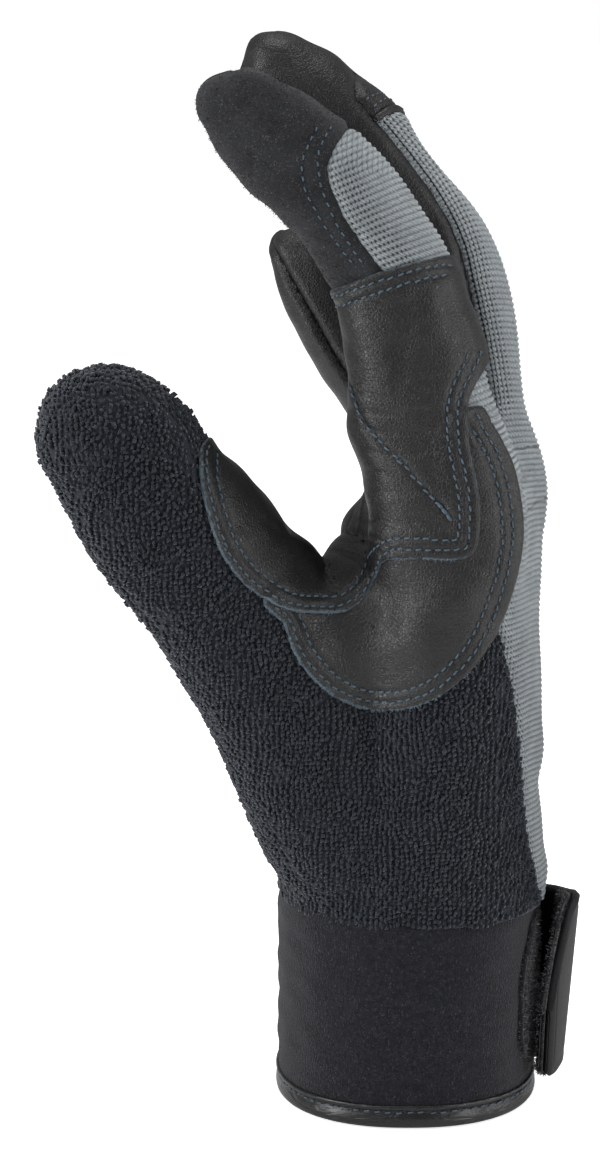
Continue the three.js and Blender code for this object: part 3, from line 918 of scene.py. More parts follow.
SWELLS = (
    Swell(-44.8, -37, 234.0, 5.0, 1.7),
    Swell(-45.0, -37, 223.7, 7.0, -1.6),
    Swell(-33.4, -37, 208.7, 8.0, 0.9),
    Swell(-37.8, -15, 236.8, 4.0, -1.6),
    Swell(-34.2, -15, 241.6, 4.0, 1.2),
    Swell(-11.2, -12, 234.4, 9.0, -0.9),
    Swell(2.9, -12, 219.5, 7.0, -1.1),
    Swell(14.3, -12, 197.4, 14.0, 0.4),
    Swell(-29.8, 37.5, 191.7, 4.0, 1.2),
    Swell(-31.1, 37.5, 184.4, 6.0, -1.2),
    Swell(-13.0, -34, 157.6, 7.0, 2.2),
    Swell(-21.7, -25, 131.1, 4.5, 1.5),
    Swell(-32.7, -32, 143.2, 7.0, 1.7),
    Swell(-39.3, -34, 149.2, 5.0, 0.9),
    Swell(-76.2, -42, 169.2, 8.0, 0.9),
    Swell(-57.2, -42, 170.7, 8.0, -0.7),
    Swell(-76.7, -38, 143.4, 11.0, -1.3),
    Swell(-53.5, -20, 101.9, 14.0, 1.0),
    Swell(-32.2, -5, 54.8, 7.0, 1.4),
    Swell(31.7, 0, 51.9, 4.0, 0.9),
    Swell(31.3, 0, 138.2, 12.0, 0.4),
    Swell(-22.3, -32, 133.2, 3.6, 1.2),
    Swell(-14.8, -14, 134.4, 5.0, 3.3),
    Swell(-15.0, -16, 131.8, 5.0, 3.2),
    Swell(-10.3, -34, 144.5, 4.0, 0.7),
    Swell(14.5, -37, 177.5, 8.0, 1.3),
    Swell(31.5, -8, 81.5, 5.0, 0.6),
    Swell(30.5, -8, 72.0, 5.0, -0.9),
    Swell(-36.5, -30, 203.0, 9.0, -0.7),
    Swell(-46.5, -37, 229.5, 4.0, 1.3),
)
SOFTENED = (
    Swell(-8.0, -44, 112.0, 19.0, 1.0),
    Swell(-16.5, -43, 121.0, 8.0, 1.0),
    Swell(-1.0, -46, 156.5, 11.0, 1.0),
)


@dataclass(frozen=True)
class HandForm:
    """The whole hand as one surface, cut into its panels.

    Seams are places on a finger, measured from its middle line towards the back. A depth is a y,
    and a foot or a top is a z.
    """

    voxel: float = 1.0
    evening: int = 9
    softening: int = 70
    foot: float = 46.2
    side_seam: float = 7.0
    cap_seam: float = 6.0
    palm_seam: float = -5.0
    index_depth: float = -26.2
    index_foot: float = 140.0
    thumb_depth: float = -8.0
    fork_foot: float = 130.0
    shown_fork_foot: float = 155.0
    shown_fork_back: float = 4.0
    blend: float = 0.35
    strip_reach: float = 2.5
    cap_reach: float = 3.0
    little_foot: float = 118.0
    near_side: float = 1.0
    over_forks: float = 150.0
    over_forks_edge: float = 15.0
    far_edge: tuple[tuple[float, float], ...] = ((40, 13.0), (130, 13.0), (150, 7.0))
    far_top: tuple[tuple[float, float], ...] = ((8, 150.0), (14, 157.0))
    seam_depth: float = 0.75
    flush_depth: float = 0.1
    seam_width: float = 1.0
    seam_swell: float = 0.25
    swell_gap: float = 2.1
    seam_reach: float = 4.0
    flush: tuple[Panel, ...] = (Panel.PALM, Panel.FORK_INDEX)

    def remeshed(self, points: list, polygons: list) -> Surface:
        """Fuses closed limbs into one even surface.

        Args:
            points: The limbs' points.
            polygons: The points of each face.

        Returns:
            The surface round all of them.
        """
        mesh = bpy.data.meshes.new("limbs")
        mesh.from_pydata(points, [], polygons)
        rough = bpy.data.objects.new("limbs", mesh)
        bpy.context.scene.collection.objects.link(rough)
        remesh = rough.modifiers.new("join", "REMESH")
        remesh.mode = "VOXEL"
        remesh.voxel_size = self.voxel
        even = rough.evaluated_get(bpy.context.evaluated_depsgraph_get()).to_mesh()
        coordinates = np.zeros(len(even.vertices) * 3)
        even.vertices.foreach_get("co", coordinates)
        even.calc_loop_triangles()
        corners = np.zeros(len(even.loop_triangles) * 3, int)
        even.loop_triangles.foreach_get("vertices", corners)
        bpy.data.objects.remove(rough)
        return plain(coordinates, corners.reshape(-1, 3))

    def body(self) -> Surface:
        """Joins the limbs and gives the hand its swellings and hollows.

        Returns:
            The whole hand.
        """
        points, polygons = [], []
        for part in LIMBS:
            more, faces = part.skin()
            polygons.extend([[len(points) + i for i in face] for face in faces])
            points.extend(more.tolist())
        surface = self.remeshed(points, polygons)
        surface.smooth(self.evening, 0.5)
        for soft in SOFTENED:
            off = ((surface.points - soft[:3]) ** 2).sum(axis=1) / soft.reach**2
            surface.smooth(self.softening, 0.5, soft.out * np.exp(-(off**2)))
        out = np.zeros(len(surface.points))
        for swell in SWELLS:
            off = (surface.points - swell[:3]) * np.array([1, 0.4, 1])
            out += swell.out * np.exp(-(off**2).sum(axis=1) / swell.reach**2)
        return surface.raised(out)

    def fork_level(self, near: Limb, far: Limb, points: Array) -> Array:
        """Measures how far points lie inside the strip between two fingers.

        Args:
            near: The finger on the thumb side.
            far: The other finger. The middle finger's edge is drawn as the camera sees it.
            points: Points of the glove.

        Returns:
            The distance inside the strip.
        """
        _, near_back, near_past = near.place(points)
        _, far_back, far_past = far.place(points)
        share = 1 / (1 + np.exp(np.clip((far_past - near_past) / self.blend, -40, 40)))
        back = near_back * (1 - share) + far_back * share
        far_edge = -FINGER_BACK.level(points) if far is MIDDLE else self.side_seam - far_back
        near_y, far_y = near.stations[-1].y, far.stations[-1].y
        shown = (back > self.shown_fork_back) & (near is INDEX)
        foot = np.where(shown, self.shown_fork_foot, self.fork_foot)
        return np.minimum.reduce([
            back - self.palm_seam,
            (self.side_seam - near_back) * (1 - share) + far_edge * share,
            points[:, 1] - near_y,
            far_y - points[:, 1],
            points[:, 2] - foot,
        ])

    def cap_level(self, finger: Limb, length: float, points: Array) -> Array:
        """Measures how far points lie inside the leather tip on the back of a finger.

        Args:
            finger: The finger.
            length: How far the tip reaches down from the finger's end.
            points: Points of the glove.

        Returns:
            The distance inside the tip.
        """
        run, back, past = finger.place(points)
        run = run + HEM_SLOPE * (points[:, 1] - finger.stations[0].y)
        return np.minimum.reduce([back - self.cap_seam, run - finger.length() + length, self.cap_reach - past])

    def back_level(self, points: Array) -> Array:
        """Measures how far points lie inside the knitted back.

        Args:
            points: Points of the glove.

        Returns:
            The distance inside the back.
        """
        lower_edge = look_up(points[:, 2], self.far_edge)
        far_edge = np.where(points[:, 2] > self.over_forks, self.over_forks_edge, lower_edge)
        far = np.minimum(points[:, 0] - far_edge, look_up(points[:, 1], self.far_top) - points[:, 2])
        level = np.where(points[:, 1] < self.near_side, BACK_NEAR.level(points), far)
        for finger in (MIDDLE, RING, LITTLE):
            _, back, past = finger.place(points)
            edge = back - self.side_seam
            if finger is MIDDLE:
                edge = np.where(points[:, 1] < finger.stations[0].y, FINGER_BACK.level(points), edge)
            strip = np.minimum.reduce([edge, self.strip_reach - past, points[:, 2] - self.fork_foot])
            level = np.maximum(level, strip)
        _, back, past = LITTLE.place(points)
        outer_side = points[:, 1] - LITTLE.stations[-1].y
        low = points[:, 2] - self.little_foot
        return np.maximum(level, np.minimum.reduce([back, outer_side, self.strip_reach - past, low]))

    def palm_level(self, points: Array) -> Array:
        """Measures how far points lie inside the palm's leather.

        Args:
            points: Points of the glove.

        Returns:
            The distance inside the palm.
        """
        side = points[:, [0, 2]]
        upper = polygon_level(side, np.array(CROTCH_EDGE + OVER_CROTCH, float))
        lower = polygon_level(points[:, [1, 2]], np.array(PALM_CREASE + CREASE_OUTSIDE, float))
        thumb = polygon_level(side, np.array(CROTCH_EDGE + UNDER_CROTCH, float))
        thumb = np.minimum(thumb, self.thumb_depth - points[:, 1])
        return np.maximum(upper, np.minimum(lower, -thumb))

    def level(self, panel: Panel, points: Array) -> Array:
        """Measures how far points lie inside a panel that is cut out.

        Args:
            panel: The panel.
            points: Points of the glove.

        Returns:
            The distance inside the panel.
        """
        if panel in FORKS:
            return self.fork_level(*FORKS[panel], points)
        if panel in CAPS:
            return self.cap_level(*CAPS[panel], points)
        if panel in INDEX_OUTLINES:
            side = np.minimum(self.index_depth - points[:, 1], points[:, 2] - self.index_foot)
            return np.minimum(INDEX_OUTLINES[panel].level(points), side)
        return self.back_level(points) if panel is Panel.BACK else self.palm_level(points)

    def cut(self, surface: Surface) -> None:
        """Cuts the surface into panels and tags its faces. What is left over is towelling.

        Args:
            surface: The whole hand, which is changed.
        """
        above = surface.split(surface.points[:, 2] - self.foot)
        kept = surface.part(above > 0)
        surface.points, surface.faces, surface.tags = kept.points, kept.faces, kept.tags
        for panel in CUT_ORDER:
            side = surface.split(self.level(panel, surface.points))
            surface.tags[(side > 0) & (surface.tags == 0)] = PANELS.index(panel)
        self.settle(surface)

    def settle(self, surface: Surface, smallest: int = 150) -> None:
        """Gives scraps of a panel to the panel round them.

        Args:
            surface: The cut hand, which is changed.
            smallest: The fewest faces that a panel's piece may have.
        """
        _, face_edges = surface.edges()
        flat = face_edges.ravel()
        order = np.argsort(flat, kind="stable")
        same = np.flatnonzero(flat[order][1:] == flat[order][:-1])
        one, other = order[same] // 3, order[same + 1] // 3
        for tag in range(len(PANELS)):
            chosen = np.flatnonzero(surface.tags == tag)
            numbers = surface.part(surface.tags == tag).pieces()
            names, counts = np.unique(numbers, return_counts=True)
            for name in names[(counts < smallest)]:
                scrap = np.zeros(len(surface.faces), bool)
                scrap[chosen[numbers == name]] = True
                near = np.concatenate([
                    surface.tags[other[scrap[one] & ~scrap[other]]],
                    surface.tags[one[scrap[other] & ~scrap[one]]],
                ])
                if len(near):
                    surface.tags[scrap] = np.bincount(near).argmax()

    def seams(self, surface: Surface) -> tuple[Array, Array]:
        """Finds the sewn lines between panels.

        Args:
            surface: The cut hand.

        Returns:
            Points along the seams, and how deep each is drawn in.
        """
        pairs, face_edges = surface.edges()
        low = np.full(len(pairs), 99)
        high = np.full(len(pairs), -1)
        for k in range(3):
            np.minimum.at(low, face_edges[:, k], surface.tags)
            np.maximum.at(high, face_edges[:, k], surface.tags)
        sewn = low != high
        ends = surface.points[pairs[sewn]]
        flush = [PANELS.index(panel) for panel in self.flush]
        both = np.isin(low[sewn], flush) & np.isin(high[sewn], flush)
        depth = np.where(both, self.flush_depth, self.seam_depth)
        return np.concatenate([ends[:, 0], ends.mean(axis=1)]), np.concatenate([depth, depth])

    def draw_in(self, surface: Surface) -> None:
        """Sinks the surface along its seams and puffs it up beside them.

        Args:
            surface: The cut hand, which is changed.
        """
        line, depth = self.seams(surface)
        gap, nearest = distance_to(line, surface.points, self.seam_reach)
        groove = np.exp(-((gap / self.seam_width) ** 2))
        swell = self.seam_swell * np.exp(-((gap - self.swell_gap) ** 2))
        surface.points = surface.raised((swell - groove) * depth[nearest] * (gap < self.seam_reach)).points


# Relief


WAVES = 9


@dataclass(frozen=True)
class Fold:
    """A crease or a ridge on the thumb side: its line, its width and how deep it is."""

    corners: tuple[tuple[float, float], ...]
    width: float
    depth: float
    drawn_at: float = -40.0

    def press(self, surface: Surface) -> None:
        """Presses the fold into a surface.

        Args:
            surface: The surface, which is changed.
        """
        line, _ = VIEW.project(drawn_line(self.corners, 0.5), self.drawn_at, surface.tree())
        if len(line) > 1:
            shape, nearest = surface.groove(line, self.width, 3 * self.width)
            taper = np.sin(np.pi * np.clip((nearest + 1) / (len(line) + 1), 0, 1)) ** 0.5
            surface.points = surface.raised(-self.depth * shape * taper).points


def ripple(points: Array, size: float, seed: int) -> Array:
    """Gives smooth uneven values between about -1 and 1.

    Args:
        points: Points of the glove.
        size: The distance from one swelling to the next.
        seed: Which pattern.

    Returns:
        A value for each point.
    """
    random = np.random.default_rng(SEED + seed)
    total = np.zeros(len(points))
    for _ in range(WAVES):
        way = unit(random.normal(size=3))
        wave = 2 * np.pi / (size * random.uniform(0.7, 1.5))
        total += np.sin(points @ way * wave + random.uniform(0, 6.3))
    return total / 3.2


# Sewing


STITCH_PLACES = 6
STITCH_SIDES = 6


@dataclass(frozen=True)
class Stitching:
    """A row of stitches: pitch, length, radius, height, turn in degrees and unevenness."""

    pitch: float = 2.1
    length: float = 1.55
    radius: float = 0.22
    height: float = 0.26
    turn: float = 9.0
    uneven: float = 0.1

    def sew(self, line: Array, normals: Array, seed: int = 0) -> Surface:
        """Sews a row along a line.

        Args:
            line: Places on the surface, in order.
            normals: The surface's direction at each place.
            seed: Which small unevenness.

        Returns:
            The stitches.
        """
        random = np.random.default_rng(SEED + seed)
        run = running_length(line)
        middles = np.arange(self.pitch / 2, run[-1], self.pitch)
        middles = middles + random.normal(0, self.uneven, len(middles))
        steps = np.linspace(-0.5, 0.5, STITCH_PLACES)
        turn = math.radians(self.turn)
        lines = read_along(middles[:, None] + steps * self.length * math.cos(turn), run, line)
        ups = unit(read_along(middles, run, normals))
        before, after = (read_along(middles + shift, run, line) for shift in (-0.3, 0.3))
        side = unit(np.cross(ups, after - before))
        off = steps[None, :] * self.length * math.sin(turn) + random.normal(0, self.uneven, (len(middles), 1))
        arch = self.height * (np.cos(steps * np.pi) - 0.45)
        lines = lines + side[:, None, :] * off[..., None] + ups[:, None, :] * arch[None, :, None]
        thick = self.radius * (0.55 + 0.45 * np.cos(steps * np.pi) ** 0.5)
        return tubes(lines, np.tile(thick, (len(middles), 1)), ups, STITCH_SIDES)

    def holes(self, stitches: Surface) -> Surface:
        """Makes dark tubes at the ends of stitches, the painted shade where the thread dips into its needle
        holes.

        Args:
            stitches: Stitches that were sewn as one row.

        Returns:
            The painted needle hole shade, as short tubes.
        """
        rings = stitches.points.reshape(-1, STITCH_PLACES, STITCH_SIDES, 3).mean(axis=2)
        starts = np.concatenate([rings[:, 0], rings[:, -1]])
        ways = unit(np.concatenate([rings[:, 0] - rings[:, 1], rings[:, -1] - rings[:, -2]]))
        lines = starts[:, None, :] + ways[:, None, :] * np.array([-0.3, 0.05, 0.5])[None, :, None]
        radii = np.tile(np.array([0.12, 0.26, 0.14]), (len(lines), 1))
        return tubes(lines, radii, np.roll(ways, 1, axis=1), 5)


class ThreadBox:
    """Gathers stitches and cords by what they are made of, so that they become a few pieces."""

    def __init__(self) -> None:
        """Starts with nothing."""
        self.rows: dict[str, list[Surface]] = {}

    def add(self, name: str, stitches: Surface) -> None:
        """Keeps some stitches under a piece's name."""
        self.rows.setdefault(name, []).append(stitches)

    def sew(
        self, name: str, stitching: Stitching, line: Array, normals: Array, seed: int = 0
    ) -> None:
        """Sews a row with dark tubes at its ends, the painted shade of its needle holes.

        Args:
            name: The piece that the stitches go to.
            stitching: How they are sewn.
            line: Places on the surface, in order.
            normals: The surface's direction at each place.
            seed: Which small unevenness.
        """
        if len(line) > 2:
            stitches = stitching.sew(line, normals, seed)
            self.add(name, stitches)
            # Dark tubes at the stitch ends: painted shade in the needle holes.
            self.add("needle_holes", stitching.holes(stitches))

    def cord(self, name: str, line: Array, normals: Array, radius: float, sides: int = 8) -> None:
        """Lays one long tube along a line, thinner at its ends.

        Args:
            name: The piece that the tube goes to.
            line: The tube's middle line.
            normals: The surface's direction along it.
            radius: The tube's radius.
            sides: How many sides it has.
        """
        ends = np.maximum(1 - np.abs(np.linspace(-1, 1, len(line))) ** 8, 0.04) ** 0.5
        radii = (radius * ends * (1 + 0.12 * ripple(line, 2.2, 31)))[None, :]
        self.add(name, tubes(line[None], radii, normals.mean(axis=0)[None], sides))

    def show(self, finishes: dict[str, tuple[Material, str]]) -> None:
        """Makes them pieces of the glove.

        Args:
            finishes: The material and the slot of each piece, by the piece's name. The slots are not used.
        """
        for name, rows in self.rows.items():
            material, slot = finishes[name]
            show(joined(rows), name, material)


@dataclass(frozen=True)
class SewnLine:
    """A sewn line as the camera sees it: its plane, its corners, its groove and its stitches."""

    drawn_at: float
    corners: tuple[tuple[float, float], ...]
    thread: str
    stitching: Stitching = Stitching()
    groove: float = 0.0
    groove_width: float = 0.7

    def laid(self, surface: Surface) -> tuple[Array, Array]:
        """Lays the line on a surface and gives its places and directions."""
        return VIEW.project(drawn_line(self.corners, 0.3), self.drawn_at, surface.tree())

    def press(self, surface: Surface) -> None:
        """Draws the surface in along the line.

        Args:
            surface: The surface, which is changed.
        """
        line, _ = self.laid(surface)
        if self.groove and len(line) > 2:
            dent, _ = surface.groove(line, self.groove_width, 3 * self.groove_width)
            surface.points = surface.raised(-self.groove * dent).points

    def sew(self, surface: Surface, threads: ThreadBox, seed: int = 0) -> None:
        """Sews the line on a surface."""
        line, normals = self.laid(surface)
        threads.sew(self.thread, self.stitching, line, normals, seed)


# Finishes


def linear(colour: Sequence[float]) -> tuple[float, float, float, float]:
    """Turns a screen colour into a shader's colour.

    Args:
        colour: Red, green and blue, from 0 to 255.

    Returns:
        The colour in linear light, with its alpha.
    """
    shares = [value / 255 for value in colour]
    red, green, blue = [v / 12.92 if v <= 0.04045 else ((v + 0.055) / 1.055) ** 2.4 for v in shares]
    return red, green, blue, 1.0


class Graph:
    """Adds nodes to a shader tree or group and links them."""

    def __init__(self, tree: NodeTree) -> None:
        """Keeps the tree that nodes are added to."""
        self.tree = tree
        self.column = 0

    def node(self, kind: str, inputs: dict | None = None, **settings: object) -> bpy.types.Node:
        """Adds a node.

        Args:
            kind: The node's type without its leading ShaderNode.
            inputs: Values or other nodes' outputs for its sockets, by name or number.
            settings: Properties of the node.

        Returns:
            The node.
        """
        node = self.tree.nodes.new("ShaderNode" + kind)
        self.column += 1
        node.location = (180 * self.column, 0)
        for name, value in settings.items():
            setattr(node, name, value)
        for socket, value in (inputs or {}).items():
            self.feed(node.inputs[socket], value)
        return node

    def feed(self, socket: Socket, value: object) -> None:
        """Gives a socket what it reads.

        Args:
            socket: The socket.
            value: Another node's output, or a plain value.
        """
        if isinstance(value, Socket):
            self.tree.links.new(value, socket)
        else:
            socket.default_value = value

    def math(self, operation: str, first: object, second: object = 0.0) -> Socket:
        """Adds a calculation of two numbers."""
        return self.node("Math", {0: first, 1: second}, operation=operation).outputs[0]

    def plus(self, first: object, second: object) -> Socket:
        """Adds the sum of two numbers."""
        return self.math("ADD", first, second)

    def minus(self, first: object, second: object) -> Socket:
        """Adds the difference of two numbers."""
        return self.math("SUBTRACT", first, second)

    def times(self, first: object, second: object) -> Socket:
        """Adds the product of two numbers."""
        return self.math("MULTIPLY", first, second)

    def wave(self, turns: object) -> Socket:
        """Adds a wave that is 0 at every whole turn and 1 halfway between."""
        return self.math("ABSOLUTE", self.math("SINE", self.times(turns, math.pi)))

    def vector(self, operation: str, first: object, second: object) -> Socket:
        """Adds a calculation of two vectors."""
        return self.node("VectorMath", {0: first, 1: second}, operation=operation).outputs[0]

    def place(self) -> Socket:
        """Gives the place on the object, in metres."""
        return self.node("TexCoord").outputs["Object"]

    def noise(self, where: object, scale: object, detail: float = 3.0) -> Socket:
        """Adds soft noise of values from 0 to 1."""
        return self.node("TexNoise", {"Vector": where, "Scale": scale, "Detail": detail}).outputs[0]

    def rise(self, value: object, low: object, high: object) -> Socket:
        """Turns a value into 0 below low and 1 above high, smoothly."""
        ends = {"Value": value, "From Min": low, "From Max": high}
        return self.node("MapRange", ends, interpolation_type="SMOOTHSTEP").outputs[0]

    def mix(self, share: object, first: object, second: object) -> Socket:
        """Mixes two colours. The node's colours have the sockets 6 and 7, and 2 for the result."""
        return self.node("Mix", {0: share, 6: first, 7: second}, data_type="RGBA").outputs[2]

    def bump(self, height: object, distance: float, under: object = None) -> Socket:
        """Adds fine relief to a normal.

        Args:
            height: The relief's height, from 0 to 1.
            distance: How high a height of 1 stands, in millimetres.
            under: A normal that already has coarser relief, if any.

        Returns:
            The new normal.
        """
        inputs = {"Height": height, "Strength": 1.0, "Distance": distance * MM}
        if under is not None:
            inputs["Normal"] = under
        return self.node("Bump", inputs).outputs[0]


class Effect(Enum):
    """The shared shader groups."""

    MOTTLE = "mottled_colour"
    PEBBLE = "pebble_grain"
    FUZZ = "fibre_fuzz"
    WEAVE = "rib_stitches"
    CREASES = "fine_creases"


def effect_group(effect: Effect) -> NodeTree:
    """Gives a shared shader group, building it at its first use.

    Args:
        effect: Which group.

    Returns:
        The group.
    """
    if effect.value in bpy.data.node_groups:
        return bpy.data.node_groups[effect.value]
    tree = bpy.data.node_groups.new(effect.value, "ShaderNodeTree")
    builders = {
        Effect.MOTTLE: build_mottle,
        Effect.PEBBLE: build_pebble,
        Effect.FUZZ: build_fuzz,
        Effect.WEAVE: build_weave,
        Effect.CREASES: build_creases,
    }
    builders[effect](tree)
    return tree


def group_sockets(tree: NodeTree, inputs: dict, outputs: dict) -> tuple[Graph, object, object]:
    """Gives a group its sockets.

    Args:
        tree: The group.
        inputs: The input sockets' names and kinds.
        outputs: The output sockets' names and kinds.

    Returns:
        A graph of the group, its input's outlets and its output node.
    """
    for name, kind in inputs.items():
        tree.interface.new_socket(name, in_out="INPUT", socket_type="NodeSocket" + kind)
    for name, kind in outputs.items():
        tree.interface.new_socket(name, in_out="OUTPUT", socket_type="NodeSocket" + kind)
    start = tree.nodes.new("NodeGroupInput")
    end = tree.nodes.new("NodeGroupOutput")
    end.location = (2400, 0)
    return Graph(tree), start.outputs, end


def build_mottle(tree: NodeTree) -> None:
    """Builds uneven colour: a base with darker and lighter patches of two sizes.

    Args:
        tree: The empty group.
    """
    inputs = {"Base": "Color", "Other": "Color", "Scale": "Float", "Fine Scale": "Float", "Amount": "Float"}
    graph, given, end = group_sockets(tree, inputs, {"Color": "Color"})
    where = graph.place()
    broad = graph.rise(graph.noise(where, given["Scale"]), 0.35, 0.65)
    fine = graph.rise(graph.noise(where, given["Fine Scale"], 2.0), 0.3, 0.7)
    share = graph.times(graph.times(graph.plus(broad, fine), 0.5), given["Amount"])
    graph.feed(end.inputs["Color"], graph.mix(share, given["Base"], given["Other"]))


def build_pebble(tree: NodeTree) -> None:
    """Builds leather grain: rounded pebbles of uneven size with creases between them.

    Args:
        tree: The empty group.
    """
    inputs = {"Scale": "Float", "Uneven": "Float"}
    graph, given, end = group_sockets(tree, inputs, {"Height": "Float", "Mask": "Float"})
    where = graph.place()
    scale = given["Scale"]
    stray = graph.node("TexNoise", {"Vector": where, "Scale": scale}).outputs[1]
    sway = graph.vector("SUBTRACT", stray, (0.5, 0.5, 0.5))
    reach = graph.math("DIVIDE", given["Uneven"], scale)
    moved = graph.node("VectorMath", {0: sway, 3: reach}, operation="SCALE").outputs[0]
    there = graph.vector("ADD", where, moved)
    cells = graph.node("TexVoronoi", {"Vector": there, "Scale": scale}, feature="DISTANCE_TO_EDGE").outputs[0]
    pebble = graph.rise(cells, 0.0, 0.28)
    soft = graph.noise(where, graph.times(scale, 0.45), 2.0)
    graph.feed(end.inputs["Mask"], pebble)
    graph.feed(end.inputs["Height"], graph.plus(graph.times(pebble, 0.7), graph.times(soft, 0.6)))


def build_fuzz(tree: NodeTree) -> None:
    """Builds short fibres: fine noise drawn out in one direction over fine noise that isn't.

    Args:
        tree: The empty group.
    """
    inputs = {"Scale": "Float", "Stretch": "Vector"}
    graph, given, end = group_sockets(tree, inputs, {"Height": "Float", "Flecks": "Float"})
    where = graph.place()
    strands = graph.noise(graph.vector("MULTIPLY", where, given["Stretch"]), given["Scale"], 4.0)
    dust = graph.noise(where, graph.times(given["Scale"], 1.7), 2.0)
    graph.feed(end.inputs["Height"], graph.times(graph.plus(strands, dust), 0.5))
    graph.feed(end.inputs["Flecks"], graph.rise(graph.times(strands, dust), 0.3, 0.42))


def build_weave(tree: NodeTree) -> None:
    """Builds the stitches along a knit's ribs, and the holes between them, from its weave coordinates. Its
    dark mask is the holes with painted shade in them, and painted shade along the rib valleys, between the
    slanted stitch marks and beside seams where the knit is open.

    Args:
        tree: The empty group.
    """
    inputs = {"Pitch": "Float", "Open And Painted Shade": "Float"}
    graph, given, end = group_sockets(tree, inputs, {"Height": "Float", "Holes And Painted Shade": "Float"})
    weave = graph.node("UVMap", uv_map="Weave").outputs[0]
    along, rib, _ = graph.node("SeparateXYZ", {0: weave}).outputs
    uneven = graph.times(graph.minus(graph.noise(graph.place(), 700.0, 2.0), 0.5), 0.5)
    whole = graph.times(graph.plus(rib, graph.times(uneven, 0.5)), 2 * math.pi)
    valley = graph.times(graph.plus(graph.math("COSINE", whole), 1.0), 0.5)
    turns = graph.plus(graph.math("DIVIDE", along, given["Pitch"]), uneven)
    between = graph.rise(graph.wave(turns), 0.85, 0.2)
    slanted = graph.plus(graph.times(turns, 1.4), graph.times(rib, 1.2))
    tick = graph.rise(graph.wave(slanted), 0.1, 0.7)
    # Holes between the stitch columns, painted darker as the shade in them, more so where the knit is open.
    hole = graph.times(graph.times(graph.math("POWER", valley, 1.2), between), given["Open And Painted Shade"])
    # Painted shade between the columns beside seams, where the knit is most open.
    seams = graph.times(graph.times(graph.rise(given["Open And Painted Shade"], 0.86, 0.98), between), 0.45)
    # Painted shade along the valleys between the ribs.
    line = graph.times(graph.math("POWER", valley, 2.2), 0.36)
    # Painted shade between the slanted stitch marks.
    marks = graph.times(graph.minus(1.0, tick), 0.26)
    dark = graph.plus(graph.plus(graph.math("MAXIMUM", hole, seams), line), marks)
    graph.feed(end.inputs["Holes And Painted Shade"], graph.math("MINIMUM", dark, 1.0))
    ridge = graph.times(graph.minus(1.0, graph.times(between, given["Open And Painted Shade"])), 0.7)
    graph.feed(end.inputs["Height"], graph.plus(ridge, graph.times(tick, 0.5)))


def build_creases(tree: NodeTree) -> None:
    """Builds fine creases that run mostly across, in a band of uneven lines.

    Args:
        tree: The empty group.
    """
    graph, given, end = group_sockets(tree, {"Scale": "Float", "Stretch": "Vector"}, {"Height": "Float"})
    drawn = graph.vector("MULTIPLY", graph.place(), given["Stretch"])
    noise = {"Vector": drawn, "Scale": given["Scale"], "Detail": 2.0, "Distortion": 0.6}
    ridge = graph.math("ABSOLUTE", graph.minus(graph.node("TexNoise", noise).outputs[0], 0.5))
    graph.feed(end.inputs["Height"], graph.rise(ridge, 0.0, 0.09))


EVEN = (1.0, 1.0, 1.0)


@dataclass(frozen=True)
class Finish:
    """What every finish has.

    Its fields are its name, two colours on a screen, its roughness, sheen and shine, the scales of
    its broad and fine patches of colour, and how much of the other colour they have.
    """

    name: str
    colour: tuple[float, float, float]
    other: tuple[float, float, float]
    roughness: float = 0.8
    sheen: float = 0.0
    specular: float = 0.4
    mottle: float = 120.0
    fine_mottle: float = 900.0
    amount: float = 1.0

    def group(self, graph: Graph, effect: Effect, inputs: dict) -> bpy.types.bpy_prop_collection:
        """Places a shared group.

        Args:
            graph: The material's graph.
            effect: Which group.
            inputs: Values or other nodes' outputs for its sockets, by name.

        Returns:
            The group's outputs.
        """
        node = graph.node("Group", node_tree=effect_group(effect))
        for name, value in inputs.items():
            graph.feed(node.inputs[name], value)
        return node.outputs

    def start(self) -> tuple[Material, Graph, bpy.types.Node]:
        """Makes the material with its shader and mottled colour.

        Returns:
            The material, its graph and its shader.
        """
        material = bpy.data.materials.new(self.name)
        material.use_nodes = True
        graph = Graph(material.node_tree)
        shader = material.node_tree.nodes["Principled BSDF"]
        shader.inputs["Roughness"].default_value = self.roughness
        shader.inputs["Specular IOR Level"].default_value = self.specular
        shader.inputs["Sheen Weight"].default_value = self.sheen
        shader.inputs["Sheen Roughness"].default_value = 0.45
        mottle = self.group(graph, Effect.MOTTLE, {
            "Base": linear(self.colour), "Other": linear(self.other), "Scale": self.mottle,
            "Fine Scale": self.fine_mottle, "Amount": self.amount,
        })
        graph.feed(shader.inputs["Base Color"], mottle["Color"])
        return material, graph, shader

    def tint(self, graph: Graph, shader: bpy.types.Node, share: object, colour: object) -> None:
        """Mixes a share of another colour over the shader's own."""
        base = shader.inputs["Base Color"]
        graph.feed(base, graph.mix(share, base.links[0].from_socket, colour))


